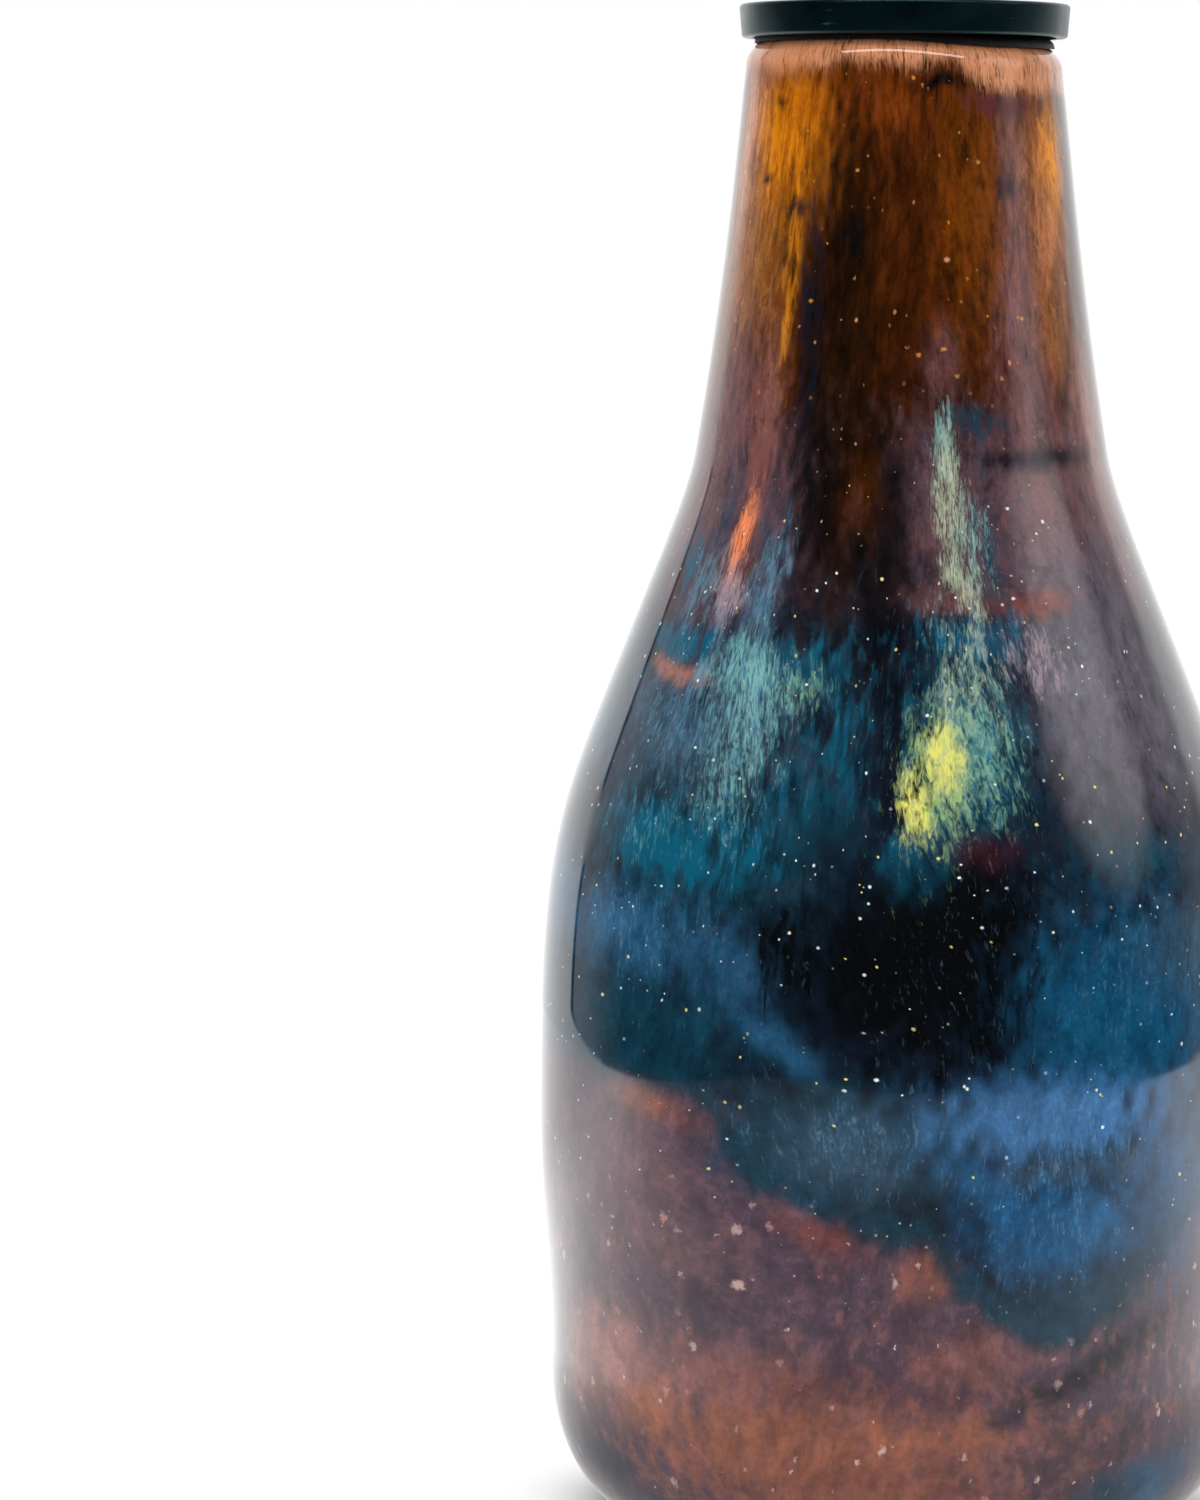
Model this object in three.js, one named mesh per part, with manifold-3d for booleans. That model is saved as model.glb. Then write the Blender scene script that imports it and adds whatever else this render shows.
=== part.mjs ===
// A wheel-thrown stoneware cruet with a steel pourer held in a black flanged stopper.
// Millimetres, +Z up. The origin is on the table under the centre of the foot; the spout leans towards -X.

import * as THREE from "three";
import { mergeVertices } from "three/addons/utils/BufferGeometryUtils.js";
import Module from "manifold-3d";

// Bottle: stretches of wall are stacked from the table up, and the neck takes the height that they leave.
const BOTTLE_HEIGHT = 134.8;
const FOOT_RADIUS = 24;
const FOOT_RING_WIDTH = 5;
const FOOT_RECESS_DEPTH = 1.6;
const HEEL_HEIGHT = 15;
const HEEL_RADIUS = 32;
const LOWER_BELLY_RISE = 21.7;
const BELLY_RADIUS = 33;
const UPPER_BELLY_RISE = 35.8;
const SHOULDER_RADIUS = 28.2;
const SHOULDER_LEAN = -0.39; // how fast the radius changes with height on the cone of the shoulder
const SHOULDER_RISE = 24.7;
const NECK_ROOT_RADIUS = 18.95;
const NECK_ROOT_LEAN = -0.17;
const NECK_TOP_LEAN = -0.09;
const MOUTH_RADIUS = 9.65;
const LIP_WALL = 4.9;
const BODY_WALL = 4.5;
const FLOOR_THICKNESS = 6;

// Stopper: a hard collar whose stem carries a finned rubber sleeve.
const COLLAR_OVERHANG = 1.4; // how far the disc reaches past the brim
const COLLAR_THICKNESS = 2.25;
const COLLAR_RIM_DROP = 0.8; // how far the disc's rim hangs below its underside, round the brim
const COLLAR_DRAFT = 0.2;
const COLLAR_EDGE_ROUND = 0.35;
const COLLAR_STEM_WALL = 0.9;
const STEM_BEAD_HEIGHT = 1.6;
const STEM_BEAD_PROUD = 0.55;
const BRIM_WRAP_DEGREES = 36; // how far round the lip the brim reaches outside its crown
const BRIM_ROOT_DEGREES = 60; // how far inside the crown it leaves the sleeve
const BRIM_THICKNESS = 0.55;
const SLEEVE_WALL = 1.2;
const FIN_COUNT = 4;
const FIN_PITCH = 4.4;
const FIN_THICKNESS = 0.9;
const FIN_RAKE = 0.8; // how far a fin's rim stands above its root
const FIN_LEAD_IN = 2.4; // plain end of the sleeve under the lowest fin
const FIN_TAPER = 0.6; // about how much smaller the lowest fin's radius is than the top one's

// Pourer: a tapered steel tube in a ferrule, with an air tube along its inside.
const SPOUT_RADIUS = 5.5;
const SPOUT_WALL = 0.8;
const SPOUT_TIP_RADIUS = 3.75;
const SPOUT_RISE = 10.7; // straight stretch above the collar
const SPOUT_BEND_RADIUS = 38;
const SPOUT_BEND_DEGREES = 40;
const SPOUT_REACH = 21; // straight stretch after the bend
const SPOUT_TIP_SLANT_DEGREES = 32;
const SPOUT_FLARE = 0.9;
const SPOUT_FLARE_HEIGHT = 1.3;
const FERRULE_RADIUS = 9.2;
const FERRULE_HEIGHT = 4.6;
const FERRULE_EDGE = 0.9;
const FERRULE_SEAT_DEPTH = 0.5;
const FERRULE_RIM = 0.7;
const BREATHER_RADIUS = 1.6;
const BREATHER_WALL = 0.55;
const BREATHER_DROP = 9; // how far the air tube hangs under the spout's flare
const BREATHER_BEND_RADIUS = 4.8;
const BREATHER_BEND_DEGREES = 58;
const BREATHER_PROUD = 1.8;

// Clearances.
const SEAT_GAP = 0.2; // between pieces that rest on each other
const SLIDE_GAP = 0.25; // between the fins and the mouth
const SWIVEL_GAP = 0.3; // between the spout and the collar's bore
const SLEEVE_GAP = 0.25; // between the sleeve and the stem that carries it
const BRAZE_GAP = 0.25; // between the air tube, the ferrule and the spout

// Facets.
const BOTTLE_STEPS = 48;
const TURNED_STEPS = 40;
const SPOUT_SIDES = 28;
const SPOUT_BEND_STEPS = 9;
const BREATHER_SIDES = 14;
const BREATHER_BEND_STEPS = 6;

const wasm = await Module();
wasm.setup();

const point = (r, z) => new THREE.Vector2(r, z);
const radians = THREE.MathUtils.degToRad;

// Places that several pieces share.
const bellyZ = HEEL_HEIGHT + LOWER_BELLY_RISE;
const shoulderZ = bellyZ + UPPER_BELLY_RISE;
const neckRootZ = shoulderZ + SHOULDER_RISE;
const lipRound = LIP_WALL / 2;
const lipCentreR = MOUTH_RADIUS + lipRound;
const lipCentreZ = BOTTLE_HEIGHT - lipRound;
const underBrim = lipRound + SEAT_GAP;
const brimEdgeR = lipCentreR + underBrim * Math.sin(radians(BRIM_WRAP_DEGREES));
const brimTopZ = BOTTLE_HEIGHT + SEAT_GAP + BRIM_THICKNESS;
const collarZ = brimTopZ + SEAT_GAP;
const collarRimZ = collarZ - COLLAR_RIM_DROP;
const collarTopZ = collarZ + COLLAR_THICKNESS;
const collarRadius = brimEdgeR + COLLAR_OVERHANG;
const boreRadius = SPOUT_RADIUS + SWIVEL_GAP;
const stemRadius = boreRadius + COLLAR_STEM_WALL;
const sleeveBore = stemRadius + SLEEVE_GAP;
const sleeveRadius = sleeveBore + SLEEVE_WALL;
const topFinZ = lipCentreZ - FIN_PITCH;
const sleeveEndZ = topFinZ - (FIN_COUNT - 1) * FIN_PITCH - FIN_LEAD_IN;
const stemEndZ = sleeveEndZ - SEAT_GAP - STEM_BEAD_HEIGHT;
const spoutEndZ = stemEndZ - SEAT_GAP - SPOUT_FLARE_HEIGHT;
const ferruleZ = collarTopZ - FERRULE_SEAT_DEPTH + SEAT_GAP;
const ferruleTopZ = ferruleZ + FERRULE_HEIGHT;
const bendZ = collarTopZ + SPOUT_RISE;

// A circular arc of the profile, from one angle to another in degrees, 0 pointing outwards and 90 up.
function arc(centreR, centreZ, radius, from, to, steps) {
  const clockwise = to < from;
  return new THREE.EllipseCurve(
    centreR, centreZ, radius, radius, radians(from), radians(to), clockwise,
  ).getPoints(steps);
}

// A smooth stretch of wall between two stations.
// A hold is the share of the rise that keeps its station's lean.
function wallCurve(from, to, fromHold, toHold) {
  const rise = to.z - from.z;
  return new THREE.CubicBezierCurve(
    point(from.r, from.z),
    point(from.r + from.lean * fromHold * rise, from.z + fromHold * rise),
    point(to.r - to.lean * toHold * rise, to.z - toHold * rise),
    point(to.r, to.z),
  );
}

// Revolves a closed profile of (radius, height) points about Z, with its faces pointing out.
function turned(profile, steps) {
  const loop = THREE.ShapeUtils.area(profile) > 0 ? [...profile] : [...profile].reverse();
  const onAxis = loop.some((p) => p.x === 0);
  if (!onAxis) loop.push(loop[0].clone());
  return new THREE.LatheGeometry(loop, steps).rotateX(Math.PI / 2);
}

// A geometry as a closed solid, for cuts.
function solidOf(geometry) {
  const bare = geometry.clone();
  bare.deleteAttribute("normal");
  bare.deleteAttribute("uv");
  const merged = mergeVertices(bare, 1e-4);
  return new wasm.Manifold(new wasm.Mesh({
    numProp: 3,
    vertProperties: merged.attributes.position.array,
    triVerts: new Uint32Array(merged.index.array),
  }));
}

function geometryOf(solid) {
  const mesh = solid.getMesh();
  const made = new THREE.BufferGeometry();
  made.setAttribute("position", new THREE.BufferAttribute(mesh.vertProperties, 3));
  made.setIndex(new THREE.BufferAttribute(mesh.triVerts, 1));
  made.computeVertexNormals();
  return made;
}

// Bends an upright piece: above startZ it follows an arc towards +X (1) or -X (-1), then runs straight on.
function bent(geometry, { startZ, radius, degrees, towards }) {
  const places = geometry.attributes.position;
  for (let i = 0; i < places.count; i += 1) {
    const length = places.getZ(i) - startZ;
    if (length <= 0) continue;
    const turn = Math.min(length / radius, radians(degrees));
    const run = length - radius * turn;
    const across = places.getX(i);
    const sideways = radius * (1 - Math.cos(turn)) + run * Math.sin(turn);
    const upwards = radius * Math.sin(turn) + run * Math.cos(turn);
    places.setX(i, towards * sideways + across * Math.cos(turn));
    places.setZ(i, startZ + upwards - towards * across * Math.sin(turn));
  }
  return geometry;
}

// Heights of the rings of a bent tube: its two ends, and steps along the arc.
function ringHeights(endZ, { startZ, radius, degrees }, arcSteps, tipZ) {
  const arcLength = radius * radians(degrees);
  const heights = [endZ];
  for (let k = 0; k <= arcSteps; k += 1) heights.push(startZ + (arcLength * k) / arcSteps);
  heights.push(tipZ);
  return heights;
}

// Outside of the bottle from the edge of the foot to the lip's widest point.
function bottleOutside() {
  const heel = new THREE.EllipseCurve(
    FOOT_RADIUS, HEEL_HEIGHT, HEEL_RADIUS - FOOT_RADIUS, HEEL_HEIGHT, -Math.PI / 2, 0, false,
  );
  const heelTop = { r: HEEL_RADIUS, z: HEEL_HEIGHT, lean: 0 };
  const belly = { r: BELLY_RADIUS, z: bellyZ, lean: 0 };
  const shoulder = { r: SHOULDER_RADIUS, z: shoulderZ, lean: SHOULDER_LEAN };
  const neckRoot = { r: NECK_ROOT_RADIUS, z: neckRootZ, lean: NECK_ROOT_LEAN };
  const neckTop = { r: MOUTH_RADIUS + LIP_WALL, z: lipCentreZ, lean: NECK_TOP_LEAN };
  return [
    ...heel.getPoints(6).slice(0, -1),
    ...wallCurve(heelTop, belly, 0.35, 0.35).getPoints(4).slice(0, -1),
    ...wallCurve(belly, shoulder, 0.56, 0.28).getPoints(7).slice(0, -1),
    ...wallCurve(shoulder, neckRoot, 0.57, 0.16).getPoints(6).slice(0, -1),
    ...wallCurve(neckRoot, neckTop, 0.34, 0.34).getPoints(6),
  ];
}

// Inside of the bottle from the floor up: the outside moved in by the wall, as far as the bore of the neck.
function bottleInside(outside, boreEndZ) {
  const moved = outside.slice(1, -1).map((p, i) => {
    const along = outside[i + 2].clone().sub(outside[i]).normalize();
    return point(p.x - along.y * BODY_WALL, p.y + along.x * BODY_WALL);
  });
  const every2nd = moved.filter((p, i) => i % 2 === 0);
  return every2nd.filter((p) => p.y > FLOOR_THICKNESS && p.y < boreEndZ - BODY_WALL && p.x > MOUTH_RADIUS);
}

// Stoneware bottle: trimmed foot ring, rounded heel and lip, and a straight bore that the stopper fits.
function bottle() {
  const outside = bottleOutside();
  const boreEndZ = spoutEndZ - SEAT_GAP;
  const inside = bottleInside(outside, boreEndZ);
  const profile = [
    point(0, FOOT_RECESS_DEPTH),
    point(FOOT_RADIUS - FOOT_RING_WIDTH - FOOT_RECESS_DEPTH, FOOT_RECESS_DEPTH),
    point(FOOT_RADIUS - FOOT_RING_WIDTH, 0),
    ...outside,
    ...arc(lipCentreR, lipCentreZ, lipRound, 0, 180, 10).slice(1),
    point(MOUTH_RADIUS, boreEndZ),
    ...inside.reverse(),
    point(inside[inside.length - 1].x - BODY_WALL / 2, FLOOR_THICKNESS),
    point(0, FLOOR_THICKNESS),
  ];
  return turned(profile, BOTTLE_STEPS);
}

// Hard black collar: the disc that covers the mouth, its rim, and the stem that goes down inside the sleeve.
function stopperCollar() {
  const lowerRadius = collarRadius - COLLAR_DRAFT;
  const rimInside = brimEdgeR + SEAT_GAP;
  const round = COLLAR_EDGE_ROUND;
  const seatRadius = FERRULE_RADIUS + SWIVEL_GAP;
  const beadRadius = stemRadius + STEM_BEAD_PROUD;
  const profile = [
    point(boreRadius, stemEndZ),
    point(stemRadius, stemEndZ),
    point(beadRadius, stemEndZ + STEM_BEAD_HEIGHT * 0.7),
    point(beadRadius, stemEndZ + STEM_BEAD_HEIGHT),
    point(stemRadius, stemEndZ + STEM_BEAD_HEIGHT),
    point(stemRadius, collarZ),
    point(rimInside, collarZ),
    point(rimInside, collarRimZ),
    ...arc(lowerRadius - round, collarRimZ + round, round, -90, 0, 3),
    ...arc(collarRadius - round, collarTopZ - round, round, 0, 90, 3),
    point(seatRadius, collarTopZ),
    point(seatRadius, collarTopZ - FERRULE_SEAT_DEPTH),
    point(boreRadius, collarTopZ - FERRULE_SEAT_DEPTH),
  ];
  return turned(profile, TURNED_STEPS);
}

// Finned rubber sleeve, squeezed in the neck, with a thin brim that lies over the lip under the collar.
function sealingSleeve() {
  const under = arc(lipCentreR, lipCentreZ, underBrim, 90 + BRIM_ROOT_DEGREES, 90 - BRIM_WRAP_DEGREES, 8);
  const edge = under[under.length - 1];
  const over = new THREE.QuadraticBezierCurve(edge, point(edge.x, brimTopZ), point(lipCentreR, brimTopZ));
  const fins = [];
  for (let k = FIN_COUNT - 1; k >= 0; k -= 1) {
    const rootZ = topFinZ - k * FIN_PITCH;
    const reach = MOUTH_RADIUS - SLIDE_GAP - (FIN_TAPER * k) / FIN_COUNT;
    fins.push(
      point(sleeveRadius, rootZ - FIN_THICKNESS),
      point(reach, rootZ + FIN_RAKE - FIN_THICKNESS),
      point(reach, rootZ + FIN_RAKE - FIN_THICKNESS * 0.4),
      point(sleeveRadius, rootZ + FIN_THICKNESS * 0.4),
    );
  }
  const profile = [
    point(sleeveBore, sleeveEndZ),
    point(sleeveRadius - SLEEVE_WALL * 0.4, sleeveEndZ),
    point(sleeveRadius, sleeveEndZ + SLEEVE_WALL * 0.6),
    ...fins,
    point(sleeveRadius, lipCentreZ),
    ...under,
    ...over.getPoints(4).slice(1),
    point(sleeveBore, brimTopZ),
  ];
  return turned(profile, TURNED_STEPS);
}

// Spun steel ferrule: a hollow-curved cone that seats the spout on the collar.
function spoutFerrule() {
  const bore = SPOUT_RADIUS + BRAZE_GAP;
  const rimRadius = bore + FERRULE_RIM;
  const sweep = new THREE.QuadraticBezierCurve(
    point(FERRULE_RADIUS, ferruleZ + FERRULE_EDGE),
    point(rimRadius, ferruleZ + FERRULE_EDGE),
    point(rimRadius, ferruleTopZ),
  );
  const profile = [
    point(bore, ferruleZ),
    point(FERRULE_RADIUS, ferruleZ),
    ...sweep.getPoints(6),
    point(bore, ferruleTopZ),
  ];
  return turned(profile, TURNED_STEPS);
}

const spoutBend = { startZ: bendZ, radius: SPOUT_BEND_RADIUS, degrees: SPOUT_BEND_DEGREES, towards: -1 };
const breatherBend = {
  startZ: ferruleTopZ - BREATHER_RADIUS,
  radius: BREATHER_BEND_RADIUS,
  degrees: BREATHER_BEND_DEGREES,
  towards: 1,
};

// A tube of the air tube's shape, hollow or solid, along the spout's inner wall and out through its back.
function airTube(radius, boreOfTube) {
  const offset = SPOUT_RADIUS - SPOUT_WALL - BREATHER_RADIUS - BRAZE_GAP;
  const turn = radians(BREATHER_BEND_DEGREES);
  const arcReach = BREATHER_BEND_RADIUS * (1 - Math.cos(turn));
  const toWall = Math.max(0, SPOUT_RADIUS - offset - arcReach) / Math.sin(turn);
  const run = toWall + BREATHER_RADIUS / Math.tan(turn) + BREATHER_PROUD;
  const tipZ = breatherBend.startZ + BREATHER_BEND_RADIUS * turn + run;
  const heights = ringHeights(spoutEndZ - BREATHER_DROP, breatherBend, BREATHER_BEND_STEPS, tipZ);
  const outside = heights.map((z) => point(radius, z));
  const hollow = [...outside, ...heights.map((z) => point(boreOfTube, z)).reverse()];
  const solid = [point(0, heights[0]), ...outside, point(0, tipZ)];
  const straight = turned(boreOfTube > 0 ? hollow : solid, BREATHER_SIDES);
  return bent(straight, breatherBend).translate(offset, 0, 0);
}

// Tapered steel spout: flared under the collar's stem, bent over, cut on the slant, pierced for the air tube.
function pourSpout() {
  const arcLength = SPOUT_BEND_RADIUS * radians(SPOUT_BEND_DEGREES);
  const tipZ = bendZ + arcLength + SPOUT_REACH;
  const radiusAt = (z) => {
    const taper = Math.max(0, z - bendZ) / (tipZ - bendZ);
    return SPOUT_RADIUS + (SPOUT_TIP_RADIUS - SPOUT_RADIUS) * taper;
  };
  const heights = ringHeights(spoutEndZ + SPOUT_FLARE_HEIGHT, spoutBend, SPOUT_BEND_STEPS, tipZ);
  const outside = [
    point(SPOUT_RADIUS + SPOUT_FLARE, spoutEndZ),
    ...heights.map((z) => point(radiusAt(z), z)),
  ];
  const inside = outside.map((p) => point(p.x - SPOUT_WALL, p.y)).reverse();
  const tube = solidOf(bent(turned([...outside, ...inside], SPOUT_SIDES), spoutBend));
  const hole = solidOf(airTube(BREATHER_RADIUS + BRAZE_GAP, 0));
  const block = 8 * SPOUT_TIP_RADIUS;
  const cutBack = SPOUT_TIP_RADIUS * Math.tan(radians(SPOUT_TIP_SLANT_DEGREES));
  const slice = new THREE.BoxGeometry(block, block, block).translate(0, 0, block / 2);
  slice.rotateY(radians(SPOUT_TIP_SLANT_DEGREES - SPOUT_BEND_DEGREES));
  const cutLength = SPOUT_REACH - cutBack;
  const lean = radians(SPOUT_BEND_DEGREES);
  slice.translate(
    -SPOUT_BEND_RADIUS * (1 - Math.cos(lean)) - cutLength * Math.sin(lean),
    0,
    bendZ + SPOUT_BEND_RADIUS * Math.sin(lean) + cutLength * Math.cos(lean),
  );
  return geometryOf(tube.subtract(hole).subtract(solidOf(slice)));
}

// Thin air tube: hangs in the bottle, runs up inside the spout and comes out of its back above the ferrule.
function breatherTube() {
  return airTube(BREATHER_RADIUS, BREATHER_RADIUS - BREATHER_WALL);
}

const GLAZE = new THREE.MeshStandardMaterial({ color: 0x5a3a34, roughness: 0.08, metalness: 0 });
const BLACK_PLASTIC = new THREE.MeshStandardMaterial({ color: 0x0b1114, roughness: 0.35, metalness: 0 });
const BLACK_RUBBER = new THREE.MeshStandardMaterial({ color: 0x08090a, roughness: 0.7, metalness: 0 });
const STEEL = new THREE.MeshStandardMaterial({ color: 0xc4c6c8, roughness: 0.22, metalness: 1 });

const cruet = new THREE.Group();
const pourer = new THREE.Group();
cruet.add(pourer);

function place(group, name, geometry, material) {
  const mesh = new THREE.Mesh(geometry, material);
  mesh.name = name;
  group.add(mesh);
}

place(cruet, "bottle", bottle(), GLAZE);
place(pourer, "stopper_collar", stopperCollar(), BLACK_PLASTIC);
place(pourer, "sealing_sleeve", sealingSleeve(), BLACK_RUBBER);
place(pourer, "spout_ferrule", spoutFerrule(), STEEL);
place(pourer, "pour_spout", pourSpout(), STEEL);
place(pourer, "breather_tube", breatherTube(), STEEL);

export default cruet;
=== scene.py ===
"""A glossy stoneware cruet with a steel pourer in a black stopper, dressed for pictures. Metres, +Z up."""
import math
from typing import NamedTuple

import bpy
import numpy as np
from mathutils import Matrix, Vector


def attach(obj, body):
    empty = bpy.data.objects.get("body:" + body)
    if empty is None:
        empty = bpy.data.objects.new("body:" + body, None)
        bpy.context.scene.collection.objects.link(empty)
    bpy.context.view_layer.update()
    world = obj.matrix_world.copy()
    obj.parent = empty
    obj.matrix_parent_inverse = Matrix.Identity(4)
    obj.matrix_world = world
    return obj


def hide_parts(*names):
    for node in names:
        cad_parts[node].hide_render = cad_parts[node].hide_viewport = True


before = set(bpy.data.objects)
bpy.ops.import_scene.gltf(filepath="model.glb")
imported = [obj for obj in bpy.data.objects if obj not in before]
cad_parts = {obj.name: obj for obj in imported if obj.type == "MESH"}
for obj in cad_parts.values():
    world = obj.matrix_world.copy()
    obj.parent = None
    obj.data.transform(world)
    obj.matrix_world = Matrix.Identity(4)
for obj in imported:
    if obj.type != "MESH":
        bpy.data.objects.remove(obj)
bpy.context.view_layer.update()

MM = 0.001

# Bottle, in millimetres: stations of its outside from the foot to the lip.
FOOT_RADIUS = 24.0
FOOT_RING_WIDTH = 5.0
FOOT_RECESS_DEPTH = 1.6
HEEL_HEIGHT = 15.0
HEEL_RADIUS = 32.0
BELLY_HEIGHT = 36.7
BELLY_RADIUS = 33.0
SHOULDER_HEIGHT = 72.5
SHOULDER_RADIUS = 28.2
SHOULDER_LEAN = -0.39
NECK_ROOT_HEIGHT = 97.2
NECK_ROOT_RADIUS = 18.95
NECK_ROOT_LEAN = -0.17
NECK_TOP_LEAN = -0.09
BOTTLE_HEIGHT = 134.8
MOUTH_RADIUS = 9.65
LIP_WALL = 4.9
BODY_WALL = 4.5
FLOOR_THICKNESS = 6.0
BORE_END = 108.85
LOWER_BELLY_HOLDS = (0.35, 0.35)  # shares of a wall's rise for which it keeps its first and its last lean
UPPER_BELLY_HOLDS = (0.56, 0.28)
SHOULDER_HOLDS = (0.57, 0.16)
NECK_HOLDS = (0.34, 0.34)
OUTSIDE_SPACING = 0.5
LIP_SPACING = 0.32
INSIDE_SPACING = 4.0
FLAT_SPACING = 6.0
BOTTLE_COLUMNS = 284
FRONT_CROWDING = 0.42  # how much closer together the columns stand at the front than on average
WOBBLE = 0.12  # how far the thrown wall wanders in from a true circle
LIP_DIP = 0.6  # how much lower the lip, and the brim on it, are on their right
LIP_DIP_ANGLES = (-14, 40, 70, 150)  # degrees from the front at which it starts, is whole, stays so and ends
LIP_DIP_HEIGHTS = (122, 133)  # between which it comes in

# Stopper, in millimetres.
COLLAR_RADIUS = 15.05
COLLAR_UNDERSIDE = 135.75
COLLAR_BOTTOM = 134.95
COLLAR_TOP = 138.0
COLLAR_DRAFT = 0.2
COLLAR_EDGE_ROUND = 0.35
COLLAR_RIM_INSIDE = 13.86
COLLAR_BORE = 5.8
STEM_RADIUS = 6.7
STEM_END = 110.55
STEM_BEAD_HEIGHT = 1.6
STEM_BEAD_PROUD = 0.55
STEM_BEAD_SLOPE = 0.7  # the share of its height that slopes
SEAT_RADIUS = 9.5
SEAT_DEPTH = 0.5
SLEEVE_BORE = 6.95
SLEEVE_RADIUS = 8.15
SLEEVE_END = 112.35
SLEEVE_BEVEL = (0.4, 0.6)  # width and height of the bevel round its end, as shares of its wall
BRIM_TOP = 135.55
BRIM_GAP = 0.2
BRIM_WRAP_DEGREES = 36.0
BRIM_ROOT_DEGREES = 60.0
FIN_COUNT = 4
FIN_PITCH = 4.4
FIN_THICKNESS = 0.9
FIN_RAKE = 0.8
FIN_TAPER = 0.6
FIN_DRAFT = 0.4  # the share of its thickness that a fin gains at its root and loses at its edge
FIN_CLEARANCE = 0.25
STOPPER_COLUMNS = 144

# Pourer, in millimetres.
SPOUT_RADIUS = 5.5
SPOUT_WALL = 0.8
SPOUT_TIP_RADIUS = 3.75
SPOUT_END = 109.05
SPOUT_FLARE = 0.9
SPOUT_FLARE_HEIGHT = 1.3
SPOUT_BEND_START = 148.7
SPOUT_BEND_RADIUS = 38.0
SPOUT_BEND_DEGREES = 40.0
SPOUT_REACH = 20.94
SPOUT_TIP_SLANT_DEGREES = 32.0
FERRULE_BORE = 5.75
FERRULE_RADIUS = 9.2
FERRULE_RIM = 0.7
FERRULE_EDGE = 0.9
FERRULE_BOTTOM = 137.7
FERRULE_TOP = 142.3
BREATHER_RADIUS = 1.6
BREATHER_WALL = 0.55
BREATHER_OFFSET = 2.85
BREATHER_BOTTOM = 100.05
BREATHER_BEND_START = 140.7
BREATHER_BEND_RADIUS = 4.8
BREATHER_BEND_DEGREES = 58.0
BREATHER_PROUD = 1.8
FERRULE_COLUMNS = 120
SPOUT_COLUMNS = 96
SPOUT_RINGS = 64
SPOUT_SLANT_RINGS = 8
SPOUT_RING_LEAD = 12.0  # how far below the bend its close rings start
BREATHER_COLUMNS = 40
BREATHER_RINGS = 30
BREATHER_RING_LEAD = 2.0

# Stage: sizes in metres, and strengths of light.
FLOOR_RADIUS = 0.43  # the reflection of the round floor's edge crosses the belly
FLOOR_SIDES = 96
ROOM_LIGHT = 0.72
BACKDROP_GLOW = 1.5
WINDOW_GLOW = 1.8
WINDOW_WAY = (0.885, -0.12, 0.45)
CAMERA_PLACE = (0.0, -0.600, 0.1156)
CAMERA_AIM = (-0.0275, 0.0, 0.0697)
CAMERA_ROLL_DEGREES = 0.25
CAMERA_LENS = 157.03


# Outlines: arrays of (radius, height) points in millimetres.

def arc(centre_r, centre_z, radius, start, end, count):
    """A circular arc: the centre plus the radius times (cos a, sin a), a from start to end in degrees."""
    a = np.radians(np.linspace(start, end, count))
    return np.c_[centre_r + radius * np.cos(a), centre_z + radius * np.sin(a)]


def bezier(corners, count):
    """A Bezier curve: its corners weighed by the Bernstein shares of t, for three or four corners."""
    corners = np.array(corners, float)
    degree = len(corners) - 1
    t = np.linspace(0.0, 1.0, count)[:, None]
    shares = [math.comb(degree, k) * t**k * (1 - t) ** (degree - k) for k in range(degree + 1)]
    return sum(share * corner for share, corner in zip(shares, corners))


def wall(start, end, start_hold, end_hold, count=160):
    """A cubic wall between two stations (radius, height, lean), which keeps each lean for its hold."""
    rise = end[1] - start[1]
    leave = (start[0] + start[2] * start_hold * rise, start[1] + start_hold * rise)
    meet = (end[0] - end[2] * end_hold * rise, end[1] - end_hold * rise)
    return bezier([start[:2], leave, meet, end[:2]], count)


def even(outline, spacing):
    """The outline at equal steps of about the spacing, read off by distance along it."""
    steps = np.hypot(*np.diff(outline, axis=0).T)
    along = np.r_[0.0, np.cumsum(steps)]
    places = np.linspace(0.0, along[-1], max(2, round(along[-1] / spacing) + 1))
    return np.c_[np.interp(places, along, outline[:, 0]), np.interp(places, along, outline[:, 1])]


def joined(*stretches):
    """Stretches of outline in one array, each without the point that it shares with the one before."""
    parts = [np.atleast_2d(np.array(s, float)) for s in stretches]
    kept = [parts[0]]
    for part in parts[1:]:
        same = np.hypot(*(part[0] - kept[-1][-1])) < 1e-6
        kept.append(part[1:] if same else part)
    return np.concatenate(kept)


# Meshes.

def grid_faces(rows, columns, rows_close=False):
    """Quads between neighbouring rows and columns. The columns always close on themselves."""
    i = np.arange(rows if rows_close else rows - 1)[:, None]
    j = np.arange(columns)[None, :]
    up, on = (i + 1) % rows, (j + 1) % columns
    corners = [i * columns + j, i * columns + on, up * columns + on, up * columns + j]
    return np.stack(corners, -1).reshape(-1, 4)


def spun(outline, angles):
    """A turned surface: row i and column j lie at (r sin a, -r cos a, z), so angle 0 faces -Y."""
    r, z = outline.T
    return np.stack([
        np.outer(r, np.sin(angles)),
        -np.outer(r, np.cos(angles)),
        np.outer(z, np.ones(len(angles))),
    ], -1)


def piece(name, points, faces, material, sharp_degrees=40.0):
    """A mesh object from points in millimetres, smooth-shaded but for edges sharper than the given angle."""
    mesh = bpy.data.meshes.new(name)
    mesh.from_pydata((np.reshape(points, (-1, 3)) * MM).tolist(), [], [face.tolist() for face in faces])
    mesh.polygons.foreach_set("use_smooth", np.ones(len(mesh.polygons), bool))
    mesh.set_sharp_from_angle(angle=math.radians(sharp_degrees))
    mesh.materials.append(material)
    made = bpy.data.objects.new(name, mesh)
    bpy.context.collection.objects.link(made)
    return made


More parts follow.
